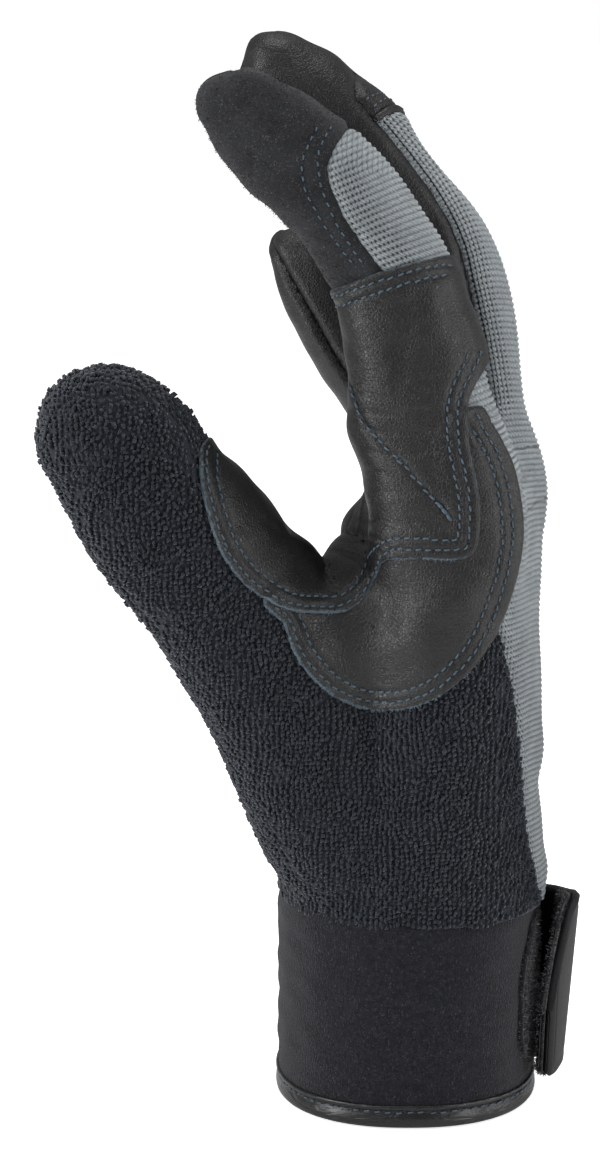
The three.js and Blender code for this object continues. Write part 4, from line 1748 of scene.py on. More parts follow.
@dataclass(frozen=True)
class LeatherFinish(Finish):
    """Leather: pebbled grain, fine creases, and blue-grey where it is cut."""

    grain: float = 1750.0
    grain_depth: float = 0.3
    crease_depth: float = 0.03
    uneven: float = 0.9
    creases: float = 130.0
    crease_stretch: tuple[float, float, float] = (0.7, 0.7, 2.6)
    raw: tuple[float, float, float] = (80, 92, 101)
    raw_fibre: float = 2600.0
    raw_roughness: float = 0.95

    def material(self) -> Material:
        """Makes the leather.

        Returns:
            The material. It reads where the leather is cut from the attribute "raw".
        """
        material, graph, shader = self.start()
        pebble = self.group(graph, Effect.PEBBLE, {"Scale": self.grain, "Uneven": self.uneven})
        crease = self.group(graph, Effect.CREASES, {"Scale": self.creases, "Stretch": self.crease_stretch})
        folded = graph.bump(crease["Height"], self.crease_depth)
        relief = graph.bump(pebble["Height"], self.grain_depth, folded)
        raw = graph.node("Attribute", attribute_name="raw").outputs["Fac"]
        fibres = self.group(graph, Effect.FUZZ, {"Scale": self.raw_fibre, "Stretch": EVEN})
        deep, pale = (linear([value * share for value in self.raw]) for share in (0.55, 1.5))
        self.tint(graph, shader, raw, graph.mix(fibres["Height"], deep, pale))
        shine = graph.minus(self.roughness + 0.06, graph.times(pebble["Mask"], 0.1))
        rough = graph.math("MAXIMUM", shine, graph.times(raw, self.raw_roughness))
        graph.feed(shader.inputs["Roughness"], rough)
        graph.feed(shader.inputs["Normal"], relief)
        return material


@dataclass(frozen=True)
class FibreFinish(Finish):
    """Cloth or suede with short fibres: fine relief and paler flecks."""

    fibre: float = 2400.0
    stretch: tuple[float, float, float] = EVEN
    depth: float = 0.12
    flecks: float = 0.25
    fleck_colour: tuple[float, float, float] = (110, 112, 118)

    def material(self) -> Material:
        """Makes the cloth or suede.

        Returns:
            The material.
        """
        material, graph, shader = self.start()
        fuzz = self.group(graph, Effect.FUZZ, {"Scale": self.fibre, "Stretch": self.stretch})
        self.tint(graph, shader, graph.times(fuzz["Flecks"], self.flecks), linear(self.fleck_colour))
        graph.feed(shader.inputs["Normal"], graph.bump(fuzz["Height"], self.depth))
        return material


@dataclass(frozen=True)
class RibFinish(Finish):
    """Ribbed knit: small stitches along the ribs, with painted shade darkening the holes and valleys between
    them.
    """

    pitch: float = 0.93
    depth: float = 0.28
    shade: float = 0.3
    fibre: float = 2600.0
    fibre_depth: float = 0.07
    speck_shade: float = 0.55

    def material(self) -> Material:
        """Makes the knit.

        Returns:
            The material. It reads how far the knit is stretched open from the attribute "open", which also
            sets the painted shade in its holes.
        """
        material, graph, shader = self.start()
        open_and_painted_shade = graph.node("Attribute", attribute_name="open").outputs["Fac"]
        weave = self.group(graph, Effect.WEAVE, {"Pitch": self.pitch, "Open And Painted Shade": open_and_painted_shade})
        fuzz = self.group(graph, Effect.FUZZ, {"Scale": self.fibre, "Stretch": EVEN})
        specks = graph.times(graph.rise(fuzz["Height"], 0.56, 0.4), 0.4)
        self.tint(graph, shader, specks, linear([value * self.speck_shade for value in self.colour]))
        # Painted shade: the holes, rib valleys and stitch marks get a darker share of the knit's own colour.
        self.tint(graph, shader, weave["Holes And Painted Shade"], linear([value * self.shade for value in self.colour]))
        under = graph.bump(weave["Height"], self.depth)
        graph.feed(shader.inputs["Normal"], graph.bump(fuzz["Height"], self.fibre_depth, under))
        return material


class Wardrobe:
    """Makes each finish once."""

    def __init__(self) -> None:
        """Sets out the glove's finishes."""
        self.towelling = FibreFinish(
            "towelling", (41, 44, 51), (57, 61, 68), 0.95, 0.2, 0.12, 260, 1300,
            fibre=2600, depth=0.10, flecks=0.18, fleck_colour=(88, 93, 102),
        ).material()
        # The ground cloth is dressed darker than the loops: painted shade between the loops.
        self.towelling_ground_painted_shade = FibreFinish(
            "towelling_ground_painted_shade", (36, 38, 44), (50, 53, 60), 0.95, 0.2, 0.1, 400, 1600, fibre=2400, depth=0.2
        ).material()
        self.leather = LeatherFinish(
            "leather", (28, 28, 29), (38, 38, 39), 0.38, 0.0, 0.36, 70, 500, grain=1450, grain_depth=0.075
        ).material()
        self.patch_leather = LeatherFinish(
            "patch_leather", (28, 28, 29), (38, 38, 39), 0.35, 0.0, 0.38, 80, 500, grain=1300, grain_depth=0.09
        ).material()
        self.suede = FibreFinish(
            "suede", (38, 38, 40), (50, 51, 53), 0.95, 0.12, 0.12, 160, 1500,
            fibre=2200, depth=0.25, flecks=0.5, fleck_colour=(104, 105, 110),
        ).material()
        self.rib_knit = RibFinish(
            "rib_knit", (170, 177, 181), (148, 155, 159), 0.9, 0.2, 0.2, 150, 1400
        ).material()
        self.cuff_knit = FibreFinish(
            "cuff_knit", (15, 16, 19), (36, 37, 43), 0.9, 0.2, 0.15, 900, 2600,
            fibre=2100, stretch=(1.0, 1.0, 0.6), depth=0.5, flecks=0.6, fleck_colour=(76, 78, 87),
        ).material()
        self.binding = LeatherFinish(
            "binding", (15, 15, 17), (24, 24, 26), 0.22, 0.0, 0.55, 200, 1400,
            grain=2600, grain_depth=0.02, crease_depth=0.08,
        ).material()
        self.rubber = FibreFinish(
            "tab_rubber", (22, 22, 24), (30, 30, 32), 0.55, 0.0, 0.25, 140, 1200,
            fibre=3000, depth=0.05, flecks=0.1,
        ).material()
        self.hook = FibreFinish(
            "hook", (16, 16, 18), (34, 34, 37), 0.3, 0.0, 0.6, 900, 2500,
            fibre=2500, depth=0.1, flecks=0.5, fleck_colour=(120, 122, 126),
        ).material()
        # The bristles' pale flecks are painted glints.
        self.bristle_with_painted_glints = FibreFinish(
            "bristle_with_painted_glints", (20, 20, 22), (80, 81, 85), 0.3, 0.0, 0.8, 1500, 2600,
            fibre=3000, depth=0.02, flecks=0.7, fleck_colour=(165, 167, 171),
        ).material()
        self.pile = FibreFinish(
            "pile", (19, 19, 22), (30, 30, 34), 0.9, 0.3, 0.25, 300, 1600, fibre=1500, depth=0.3, flecks=0.4
        ).material()
        self.thread = FibreFinish(
            "thread", (66, 83, 96), (82, 101, 115), 0.6, 0.15, 0.3, 500, 3000,
            fibre=3600, depth=0.05, flecks=0.2, fleck_colour=(120, 140, 154),
        ).material()
        # Dark thread for the seam cords; the same dark also paints the shade in the needle holes.
        self.dark_thread_and_hole_shade = FibreFinish(
            "dark_thread_and_hole_shade", (15, 17, 20), (26, 29, 33), 0.75, 0.1, 0.2, 500, 3000, fibre=3600, depth=0.05
        ).material()
        self.fray = FibreFinish(
            "fray", (96, 111, 123), (120, 134, 145), 0.95, 0.2, 0.2, 500, 3000, fibre=3600, depth=0.03
        ).material()


# Panels


RIB_PITCHES = ((40.0, 1.29), (150.0, 1.29), (185.0, 1.2), (205.0, 1.02), (250.0, 0.94))
RIB_SLOPES = (
    (40.0, 0.3), (110.0, 0.3), (150.0, 0.14), (175.0, 0.14), (188.0, 0.25), (202.0, 0.5), (216.0, 0.78)
)
OVAL_PITCH = 1.5


def rib_number(points: Array, panel: Panel) -> Array:
    """Numbers the knit's ribs, which lie across the hand, square to the seam beside the middle finger.

    Args:
        points: Points of the glove.
        panel: The oval of the index finger, whose ribs are broader, or the back.

    Returns:
        A number for each point, whole in the valleys between ribs.
    """
    x, y, z = points.T
    sway = 0.35 * np.sin(x * 0.21 + z * 0.07) + 0.25 * np.sin(y * 0.17 + x * 0.11)
    if panel is Panel.INDEX_KNIT:
        return (z - (0.44 - 0.12 * ease(x, -15, 8)) * x + 0.1 * y + sway) / OVAL_PITCH
    seam = look_up(z, [(height, across) for across, height in KNIT_BORDER[::-1]])
    finger = ease(z, 128, 166)
    past = np.maximum(x - seam, 8 * ease(y, -18, -11))
    reach = (x - seam) * (1 - finger) + 6 * np.tanh(past / 6) * finger
    height = z - look_up(z, RIB_SLOPES) * reach + 0.17 * np.minimum(y, 20) + sway
    heights = np.linspace(0, 290, 500)
    numbers = np.cumsum((heights[1] - heights[0]) / look_up(heights, RIB_PITCHES))
    return np.interp(height, heights, numbers)


@dataclass(frozen=True)
class KnitPanel:
    """A panel of ribbed knit.

    Its fields are the panel, its sewn edge as the camera sees it and the plane that the edge is
    drawn on, how far from the edge the knit is stretched open and its holes painted darker as
    shade, and how high its ribs stand.
    """

    panel: Panel
    edge: tuple[tuple[float, float], ...]
    edge_depth: float
    open_reach: tuple[float, float]
    relief: float = 0.42
    farthest: float = 14.0

    def from_edge(self, points: Array) -> Array:
        """Gives how far points lie from the sewn edge.

        Args:
            points: Points of the glove.

        Returns:
            The distances, none more than the farthest.
        """
        edge = np.insert(drawn_line(self.edge, 0.4), 1, 0.0, axis=1)
        flat = np.insert(VIEW.flatten(points, self.edge_depth), 1, 0.0, axis=1)
        return distance_to(edge, flat, self.farthest)[0]

    def columns(self, points: Array) -> Array:
        """Gives how far along the ribs points lie.

        Args:
            points: Points of the glove.

        Returns:
            The distances from the sewn edge, or else round the limb.
        """
        from_edge = self.from_edge(points)
        if self.panel is Panel.INDEX_KNIT:
            return from_edge
            return from_edge
        round_hand = 36 * np.arctan2(points[:, 1], points[:, 0] - 5)
        best = np.full(len(points), np.inf)
        for finger in (MIDDLE, RING, LITTLE):
            _, back, past = finger.place(points)
            nearer = (past < best) & (points[:, 2] > 140)
            best[nearer] = past[nearer]
            turn = np.arctan2(points[:, 1] - finger.stations[0].y, back)
            round_hand[nearer] = 12.5 * turn[nearer]
        seen = (from_edge < 11) & (points[:, 2] > 152) & (points[:, 1] < -5)
        return np.where(seen, from_edge, round_hand)

    def open_and_shade_share(self, points: Array) -> Array:
        """Gives how far the knit is stretched open, which also sets how much painted shade darkens its holes.

        Args:
            points: Points of the glove.

        Returns:
            A share for each point, larger beside the sewn edge and in the oval's lower part.
        """
        _, y, z = points.T
        beside_edge = 1 - ease(self.from_edge(points), *self.open_reach)
        if self.panel is Panel.INDEX_KNIT:
            return 0.15 + 0.68 * beside_edge * ease(-z, -222, -212)
        finger = ease(z, 156, 164)
        beside_terry = 0.75 * (1 - ease(BACK_NEAR.level(points), 2.5, 8.0)) * (y < 0) * (1 - ease(z, 126, 137))
        change = 1 - np.exp(-(((z - 152) / 4) ** 2))
        return 0.1 + 0.9 * (beside_terry * (1 - finger) + beside_edge * (y < -4) * finger) * change

    def build(self, body: Surface, finish: Material) -> None:
        """Cuts the panel along its ribs, raises them and dresses it.

        Args:
            body: The whole hand.
            finish: The knit.
        """
        knit = panel_part(body, self.panel)
        knit.values["rib"] = rib_number(knit.points, self.panel)
        for shift, level in ((0.0, np.sin), (0.5, np.cos)):
            before = len(knit.points)
            knit.split(level(np.pi * knit.values["rib"]))
            made = knit.values["rib"][before:]
            knit.values["rib"][before:] = np.round(made - shift) + shift
        gap, _ = distance_to(knit.rim_points(), knit.points, 2.0)
        crest = 0.5 - 0.5 * np.cos(2 * np.pi * knit.values["rib"])
        flat = 1 - 0.55 * ease(knit.points[:, 2], 175, 205) * (self.panel is Panel.BACK)
        height = self.relief * flat * (crest**0.7 - 0.55) * ease(gap, 0.0, 0.7)
        # The share also sets how much painted shade darkens the holes.
        knit.values["open"] = self.open_and_shade_share(knit.points)
        knit.values["along"] = self.columns(knit.points)
        node = self.panel.value
        show(knit.raised(height).skirted(1.0), node + "_ribs", finish, node)


@dataclass(frozen=True)
class LeatherPanel:
    """A leather or suede panel.

    Its fields are its slot, which is not used, how often its mesh is divided, how uneven it is, its
    folds and sewn lines, and how many fibres stand on it and how long they are.
    """

    panel: Panel
    slot: str
    divisions: int = 0
    swell: float = 0.18
    folds: tuple[Fold, ...] = ()
    lines: tuple[SewnLine, ...] = ()
    fibres: int = 0
    fibre_length: float = 0.42

    def build(self, body: Surface, finish: Material, threads: ThreadBox) -> None:
        """Shapes and dresses the panel.

        Args:
            body: The whole hand.
            finish: What it is made of.
            threads: Where its stitches go.
        """
        leather = panel_part(body, self.panel)
        for _ in range(self.divisions):
            leather = leather.refined()
        for fold in self.folds:
            fold.press(leather)
        gap, _ = distance_to(leather.rim_points(), leather.points, 3.0)
        leather = leather.raised(self.swell * ripple(leather.points, 9.0, 3) * ease(gap, 0, 2.5))
        for sewn in self.lines:
            sewn.press(leather)
            sewn.sew(leather, threads, 80)
        node = self.panel.value
        show(leather.skirted(1.0), node + "_skin", finish, node)
        if self.fibres:
            fibres = nap(leather, self.fibres, self.fibre_length, 40)
            show(fibres, node + "_nap", finish, node)


class LoopPlace(NamedTuple):
    """A place along a towelling loop: how far along, how high, how much it strays and how thick."""

    along: float
    high: float
    stray: float
    thick: float


LOOP = (
    LoopPlace(-0.5, -0.3, 0, 0.6),
    LoopPlace(-0.22, 0.85, 0.8, 1.0),
    LoopPlace(0.22, 1.0, 1.0, 1.0),
    LoopPlace(0.5, -0.1, 0.2, 0.6),
)


@dataclass(frozen=True)
class TerryPanel:
    """The towelling panel: a ground cloth and its loops, which stand in upright wales."""

    wale: float = 1.08
    row: float = 0.98
    sink: float = 0.42
    height: float = 0.46
    span: float = 0.62
    radius: float = 0.49
    sides: int = 3
    clear: float = 0.8
    sway: tuple[float, float, float] = (16.0, 12.0, 14.0)
    most: int = 9000
    layers: int = 6

    def hits(self, tree: BVHTree, axis: int, sign: int, low: Array, high: Array) -> list[tuple]:
        """Finds the surface that faces one way along a grid of rays.

        Args:
            tree: The ground cloth.
            axis: The axis that the rays run along.
            sign: Which way the surface faces.
            low: The lowest corner of the cloth's box.
            high: The highest corner.

        Returns:
            Place and normal for each hit.
        """
        across, up = {0: (1, 2), 1: (0, 2), 2: (1, 0)}[axis]
        columns = np.arange(low[across], high[across], self.wale)
        rows = np.arange(low[up], high[up], self.row)
        way = np.zeros(3)
        way[axis] = -sign
        found = []
        for a in columns:
            for b in rows:
                start = np.zeros(3)
                start[across], start[up] = a, b
                start[axis] = high[axis] + 1 if sign > 0 else low[axis] - 1
                for _ in range(self.layers):
                    hit, normal, _, _ = tree.ray_cast(Vector(start), Vector(way))
                    if hit is None:
                        break
                    if normal[axis] * sign > 0 and max(abs(v) for v in normal) == abs(normal[axis]):
                        found.append((hit[:], normal[:]))
                    start = np.array(hit) + way * 0.05
        return found

    def loops(self, ground: Surface, cover: Sequence[Surface]) -> Surface:
        """Makes the loops.

        Args:
            ground: The ground cloth.
            cover: Surfaces that lie on the cloth, where no loops stand.

        Returns:
            All the loops as one surface.
        """
        random = np.random.default_rng(SEED)
        tree = ground.tree()
        low, high = ground.points.min(axis=0), ground.points.max(axis=0)
        found = []
        for axis, sign in ((0, 1), (0, -1), (1, 1), (1, -1), (2, 1), (2, -1)):
            found += self.hits(tree, axis, sign, low, high)
        places, normals = (np.array(part) for part in zip(*found))
        for patch in cover:
            gap, _ = distance_to(patch.points, places, self.clear)
            places, normals = places[gap >= self.clear], normals[gap >= self.clear]
        count = len(places)
        sway = 0.55 * np.stack([ripple(places, size, 21 + k) for k, size in enumerate(self.sway)], axis=1)
        places = places + sway - normals * (sway * normals).sum(axis=1, keepdims=True)
        high = ease(places[:, 2:], 95, 150)
        loose = 0.14 + 0.06 * high
        places = places + random.normal(0, 1, (count, 3)) * loose
        upright = np.array([0, 0, 1.0]) + random.normal(0, 1.6, (count, 3)) * loose
        upright = np.where(np.abs(normals[:, 2:]) > 0.7, upright[:, [2, 1, 0]], upright)
        along = unit(upright - normals * (upright * normals).sum(axis=1, keepdims=True))
        steps, rise, stray, thick = np.array(LOOP).T
        height = self.height * random.uniform(0.6, 1.4, count)
        lean = 0.11 * random.normal(0, 1, (count, 1, 3)) * stray[None, :, None]
        lines = (
            places[:, None, :]
            + along[:, None, :] * (steps * self.span * (1.15 - 0.15 * high))[..., None]
            + normals[:, None, :] * (rise[None, :, None] * height[:, None, None])
            + lean
        )
        radii = self.radius * random.uniform(0.8, 1.2, (count, 1)) * thick
        return tubes(lines, radii, normals, self.sides)

    def build(self, body: Surface, cover: Sequence[Surface], wardrobe: Wardrobe) -> None:
        """Builds and dresses the ground cloth and its loops, in pieces of a limited size.

        Args:
            body: The whole hand.
            cover: Surfaces that lie on the cloth.
            wardrobe: The finishes.
        """
        node = Panel.TERRY.value
        ground = panel_part(body, Panel.TERRY)
        edge = ease(distance_to(ground.rim_points(), ground.points, 3.0)[0], 0, 2.5)
        ground = ground.raised(-self.sink * (0.35 + 0.65 * edge))
        # The ground cloth is darker than the loops, as painted shade between them.
        show(ground.skirted(1.0), "terry_ground", wardrobe.towelling_ground_painted_shade, node)
        loops = self.loops(ground, cover)
        piece = loops.faces[:, 0] // (len(LOOP) * self.sides) // self.most
        for number in range(piece.max() + 1):
            chosen = loops.part(piece == number)
            show(chosen, f"terry_loops_{number + 1}", wardrobe.towelling, node)


def nap(surface: Surface, count: int, length: float, seed: int) -> Surface:
    """Makes short fibres that stand on a surface.

    Args:
        surface: The surface.
        count: How many fibres there are.
        length: Their length.
        seed: Which places.

    Returns:
        The fibres.
    """
    random = np.random.default_rng(SEED + seed)
    spans = surface.spans()
    share = np.linalg.norm(spans, axis=1)
    chosen = random.choice(len(surface.faces), count, p=share / share.sum())
    a, b, c = surface.points[surface.faces[chosen]].transpose(1, 0, 2)
    weight = random.dirichlet((1, 1, 1), count)[:, :, None]
    places = weight[:, 0] * a + weight[:, 1] * b + weight[:, 2] * c
    ways = unit(unit(spans[chosen]) + random.normal(0, 0.7, (count, 3)))
    bend = random.normal(0, 0.35, (count, 3))
    reach = (length * random.uniform(0.5, 1.3, count))[:, None, None]
    steps = np.array([-0.1, 0.5, 1.0])[None, :, None]
    lines = places[:, None, :] + reach * (ways[:, None, :] * steps + bend[:, None, :] * steps**2)
    return tubes(lines, np.tile(np.array([0.07, 0.055, 0.03]), (count, 1)), bend, 3)


# Patches


@dataclass(frozen=True)
class Patch:
    """A leather patch sewn on the thumb side.

    Its fields are its node, its outline, the runs of corners that are sewn, how far it reaches
    across the hand below and above a height, its thickness, its rows of stitches and its folds.
    """

    node: str
    outline: Outline
    sewn: tuple[tuple[int, int], ...]
    low_reach: float
    high_reach: float
    split_height: float = 150.0
    thickness: float = 1.2
    insets: tuple[float, ...] = (1.8, 4.1)
    folds: tuple[Fold, ...] = ()
    lines: tuple[SewnLine, ...] = ()
    thinned: float = 0.95
    row_depth: float = 0.3
    row_width: float = 0.65
    rim_faces: tuple[float, float] = (-0.6, -0.8)

    def edge(self, run: tuple[int, int], inset: float) -> Array:
        """Gives a sewn part of the outline, moved inwards.

        Args:
            run: The first and the last corner.
            inset: How far it is moved.

        Returns:
            Its x and z, closely spaced.
        """
        whole = self.outline.line()
        along = unit(np.roll(whole, -1, axis=0) - np.roll(whole, 1, axis=0))
        moved = whole + np.stack([-along[:, 1], along[:, 0]], axis=1) * inset
        level = polygon_level(moved, whole)
        chosen = np.arange(run[0] * SPAN_STEPS, run[1] * SPAN_STEPS + 1) % len(whole)
        return even_line(moved[[i for i in chosen if level[i] > inset - 0.35]], 0.3)

    def cut_from(self, body: Surface) -> Surface:
        """Copies the part of the hand that the patch covers.

        Args:
            body: The hand, before its seams are drawn in.

        Returns:
            The patch's ground, as one piece.
        """
        ground = replace(body, values={})
        _, y, z = ground.points.T
        high = ease(z, self.split_height - 3, self.split_height + 3)
        reach = self.low_reach * (1 - high) + self.high_reach * high
        side = ground.split(np.minimum(self.outline.level(ground.points), reach - y))
        ground = ground.part(side > 0)
        numbers = ground.pieces()
        names, counts = np.unique(numbers, return_counts=True)
        return ground.part(numbers == names[counts.argmax()])

    def height(
        self, patch: Surface, gap: Array, under: "Patch | None", over: "Patch | None"
    ) -> Array:
        """Gives how high the leather's outer side stands over the hand.

        Args:
            patch: The patch's ground.
            gap: How far its points lie from its edge.
            under: A patch that its rim partly lies on.
            over: A patch that lies on it, where it is thinned.

        Returns:
            A height for each point.
        """
        points = patch.points
        roll = np.sqrt(1 - (1 - np.clip(gap, 0, 1)) ** 2)
        height = self.thickness * (0.3 + 0.7 * roll) + 0.2 * ripple(points, 11.0, 7) * ease(gap, 1, 5)
        if under is not None:
            rim_share = 1 - ease(self.outline.level(points), 2.5, 9.0)
            height = height + ease(under.outline.level(points), -1.2, 1.2) * rim_share
        if over is not None:
            height = height - self.thinned * ease(over.outline.level(points), 2.0, 6.0)
        return height

    def sew(self, patch: Surface, threads: ThreadBox) -> Surface:
        """Draws the leather in along its rows of stitches and sews them.

        Args:
            patch: The patch's surface.
            threads: Where its stitches go.

        Returns:
            The surface with its grooves.
        """
        rows = [self.edge(run, inset) for run in self.sewn for inset in self.insets]
        for row in rows:
            line, _ = VIEW.project(row, self.outline.depth, patch.tree())
            if len(line) > 1:
                patch = patch.raised(-self.row_depth * patch.groove(line, self.row_width, 2.0)[0])
        for sewn in self.lines:
            sewn.press(patch)
        tree = patch.tree()
        for number, row in enumerate(rows):
            line, normals = VIEW.project(row, self.outline.depth, tree)
            threads.sew("patch_stitches", Stitching(), line, normals, number)
        for number, sewn in enumerate(self.lines):
            sewn.sew(patch, threads, 50 + number)
        return patch

    def build(
        self,
        body: Surface,
        finish: Material,
        threads: ThreadBox,
        under: "Patch | None" = None,
        over: "Patch | None" = None,
    ) -> Surface:
        """Builds the patch and sews it on.

        Args:
            body: The hand, before its seams are drawn in.
            finish: The leather.
            threads: Where its stitches and its raw edge's fibres go.
            under: A patch that its rim partly lies on.
            over: A patch that lies on it, where it is thinned.

        Returns:
            The patch's surface.
        """
        patch = self.cut_from(body).refined()
        rim = patch.rim_points()
        gap, nearest = distance_to(rim, patch.points, 6.0)
        facing = unit(rim[nearest][:, [0, 2]] - patch.points[:, [0, 2]]) @ np.array(self.rim_faces)
        width = (0.04 + 0.36 * ease(facing, -0.1, 0.8)) * (1 + 0.25 * ripple(patch.points, 3.0, 5))
        patch.values["raw"] = 1 - ease(gap, 0.75 * width, 1.15 * width)
        patch = patch.raised(self.height(patch, gap, under, over))
        for fold in self.folds:
            fold.press(patch)
        patch = self.sew(patch, threads)
        show(patch.skirted(1.3), self.node + "_skin", finish, self.node)
        frayed = patch.part((patch.values["raw"] * (facing > 0.1))[patch.faces].mean(axis=1) > 0.5)
        threads.add("raw_edge_fibres", nap(frayed, 750, 0.4, 66 + len(self.lines)))
        return patch


SLEEVE_FOLDS = (
    Fold(((-13.7, 168.3), (-6.1, 167.0), (2.5, 167.4)), 0.7, 0.22, -46),
    Fold(((-13.9, 164.4), (-4.6, 163.5), (4.9, 164.6)), 0.7, 0.25, -46),
    Fold(((-13.2, 160.4), (-2.9, 159.1), (7.5, 160.4)), 0.8, 0.28, -46),
    Fold(((-12.3, 155.6), (-3.3, 154.6), (5.8, 155.9)), 0.7, 0.22, -46),
    Fold(((-11.5, 151.3), (-2.8, 150.0), (4.9, 151.3)), 0.7, 0.2, -46),
    Fold(((-10.6, 146.9), (-2.4, 146.0), (3.7, 147.4)), 0.7, 0.18, -46),
    Fold(((-32.7, 139.3), (-26.6, 134.9), (-20.5, 131.4)), 1.4, 0.35, -40),
    Fold((
        (-19.4, 133.9), (-17.3, 133.0), (-15.3, 132.6), (-13.4, 132.0), (-11.4, 130.9), (-9.6, 128.6)
    ), 0.8, 0.6, -42),
    Fold(((-15.5, 137.3), (-13.4, 137.3), (-10.8, 136.5), (-8.6, 136.1), (-5.5, 133.8)), 0.75, 0.45, -42),
    Fold(((-16.5, 135.3), (-14.5, 135.1), (-11.7, 135.1), (-9.2, 134.4), (-7.2, 132.6)), 0.6, 0.4, -42),
    Fold(((-16.0, 134.0), (-12.5, 133.5), (-10.0, 132.1), (-8.6, 130.2)), 0.5, 0.3, -42),
    Fold(((-14.0, 140.2), (-11.0, 139.2), (-7.0, 139.4), (-3.0, 138.2)), 0.6, 0.3, -42),
    Fold(((-10.4, 144.8), (-11.1, 140.6), (-11.6, 138.0), (-11.9, 136.0)), 0.5, -0.4, -38),
    Fold(((-12.4, 142.4), (-13.2, 139.0), (-14.2, 136.6)), 0.7, 0.3, -34),
    Fold(((2.0, 192.0), (-2.0, 180.0), (-3.0, 168.0)), 2.6, 0.5, -46),
)
DIAGONAL_SEAM = SewnLine(-46, (
    (-13.7, 169.8), (-11.1, 162.2), (-8.2, 158.9), (-5, 155.2), (-2.4, 153), (0.4, 149.5), (3.7, 145.8),
    (6.3, 143),
), "patch_stitches", Stitching(2.05, 1.5, 0.26, 0.3, 12.0, 0.13), 0.45, 0.8)
BARTACK = SewnLine(
    -46, ((5.4, 144), (7.0, 142.2), (8.5, 139.9)), "patch_stitches",
    Stitching(1.6, 1.7, 0.42, 0.4, 5.0), 0.3, 0.9,
)
GRIP_PATCH = Patch(
    "grip_patch", GRIP, ((0, 14), (14, 18), (20, 24)), -8, -28,
    folds=SLEEVE_FOLDS, lines=(DIAGONAL_SEAM, BARTACK),
)
SADDLE_FOLDS = (
    Fold((
        (-13.0, 107.3), (-6.0, 110.8), (0.5, 116.3), (6.0, 121.3), (11.0, 124.5), (16.0, 128.5)
    ), 5.5, -1.1, -45),
)
SADDLE_PATCH = Patch("saddle_patch", SADDLE, ((0, 13),), -36, -36, folds=SADDLE_FOLDS)


# Sewn lines of the hand


PALM_FOLDS = (
    Fold(((-17.1, 129.3), (-13.3, 135.4), (-9.3, 139.2)), 0.8, 0.3, -20),
    Fold(((-14.4, 128.4), (-10.6, 133.6), (-7.1, 137.2)), 0.7, 0.3, -20),
    Fold(((-11.9, 127.7), (-8.2, 131.8), (-5.3, 134.5)), 0.7, 0.3, -20),
)
SUEDE_STITCHING = Stitching(2.3, 1.35, 0.19, 0.16, 8.0, 0.12)
SUEDE_ROWS = (
    SewnLine(-46, (
        (-20.6, 225.5), (-23.3, 220.2), (-24, 216), (-23.3, 211.7), (-21.2, 207.4), (-18.6, 203.2),
        (-16.3, 200), (-13.2, 196.2),
    ), "suede_stitches", SUEDE_STITCHING, 0.2),
    SewnLine(-46, (
        (-17.6, 225.5), (-20.1, 221.3), (-20.6, 217), (-19.7, 211.7), (-18, 207.4), (-15.9, 203.2),
        (-13.3, 199.3), (-10.6, 195.6),
    ), "suede_stitches", SUEDE_STITCHING, 0.2),
)


@dataclass(frozen=True)
class HandSeams:
    """The sewing between the hand's panels: the cord beside the knit and the hems of the tips."""

    cord_radius: float = 0.14
    cord_offset: float = 0.95
    cord_sink: float = 0.03
    hem_radius: float = 1.0
    hem_lift: float = 0.25
    hem_rows: tuple[float, float] = (2.2, 4.0)
    hem_spread: float = 62.0
    row_spread: float = 50.0
    stitching: Stitching = Stitching(2.1, 1.4, 0.17, 0.16)

    def build(self, body: Surface, threads: ThreadBox) -> None:
        """Sews all of them.

        Args:
            body: The whole hand.
            threads: Where the cords and stitches go.
        """
        tree = body.tree()
        edge = smooth_line(KNIT_BORDER[1:10], 8)
        side = unit(np.gradient(edge, axis=0))[:, [1, 0]] * np.array([-1, 1])
        drawn = even_line(edge + side * self.cord_offset, 0.3)
        cord, normals = VIEW.project(drawn, FINGER_BACK.depth, tree)
        threads.cord("seam_cords", cord - normals * self.cord_sink, normals, self.cord_radius)
        for finger, length in CAPS.values():
            edge = finger.length() - length
            line, normals = finger.across_back(edge, tree, self.hem_spread)
            threads.cord("cap_hems", line + normals * self.hem_lift, normals, self.hem_radius)
            for number, row in enumerate(self.hem_rows):
                line, normals = finger.across_back(edge + row, tree, self.row_spread)
                threads.sew("cap_stitches", self.stitching, line, normals, 11 + number)


# Cuff


@dataclass(frozen=True)
class Oval:
    """The cuff's plan: half its depth front to back, half its width and its roundness."""

    half_depth: float = 29.3
    half_width: float = 36.0
    roundness: float = 2.25

    def place(self, turn: Array, offset: Array | float = 0.0) -> Array:
        """Gives places round the cuff.

        Args:
            turn: Turns in radians.
            offset: How far outwards from the oval each place lies.

        Returns:
            Their x and y.
        """
        power = 2 / self.roundness
        cos, sin = np.cos(turn), np.sin(turn)
        x = self.half_depth * np.sign(cos) * np.abs(cos) ** power
        y = self.half_width * np.sign(sin) * np.abs(sin) ** power
        out_x = np.sign(x) * np.abs(x / self.half_depth) ** (self.roundness - 1) / self.half_depth
        out_y = np.sign(y) * np.abs(y / self.half_width) ** (self.roundness - 1) / self.half_width
        out = unit(np.stack([out_x, out_y], axis=-1))
        return np.stack([x, y], axis=-1) + out * np.asarray(offset)[..., None]


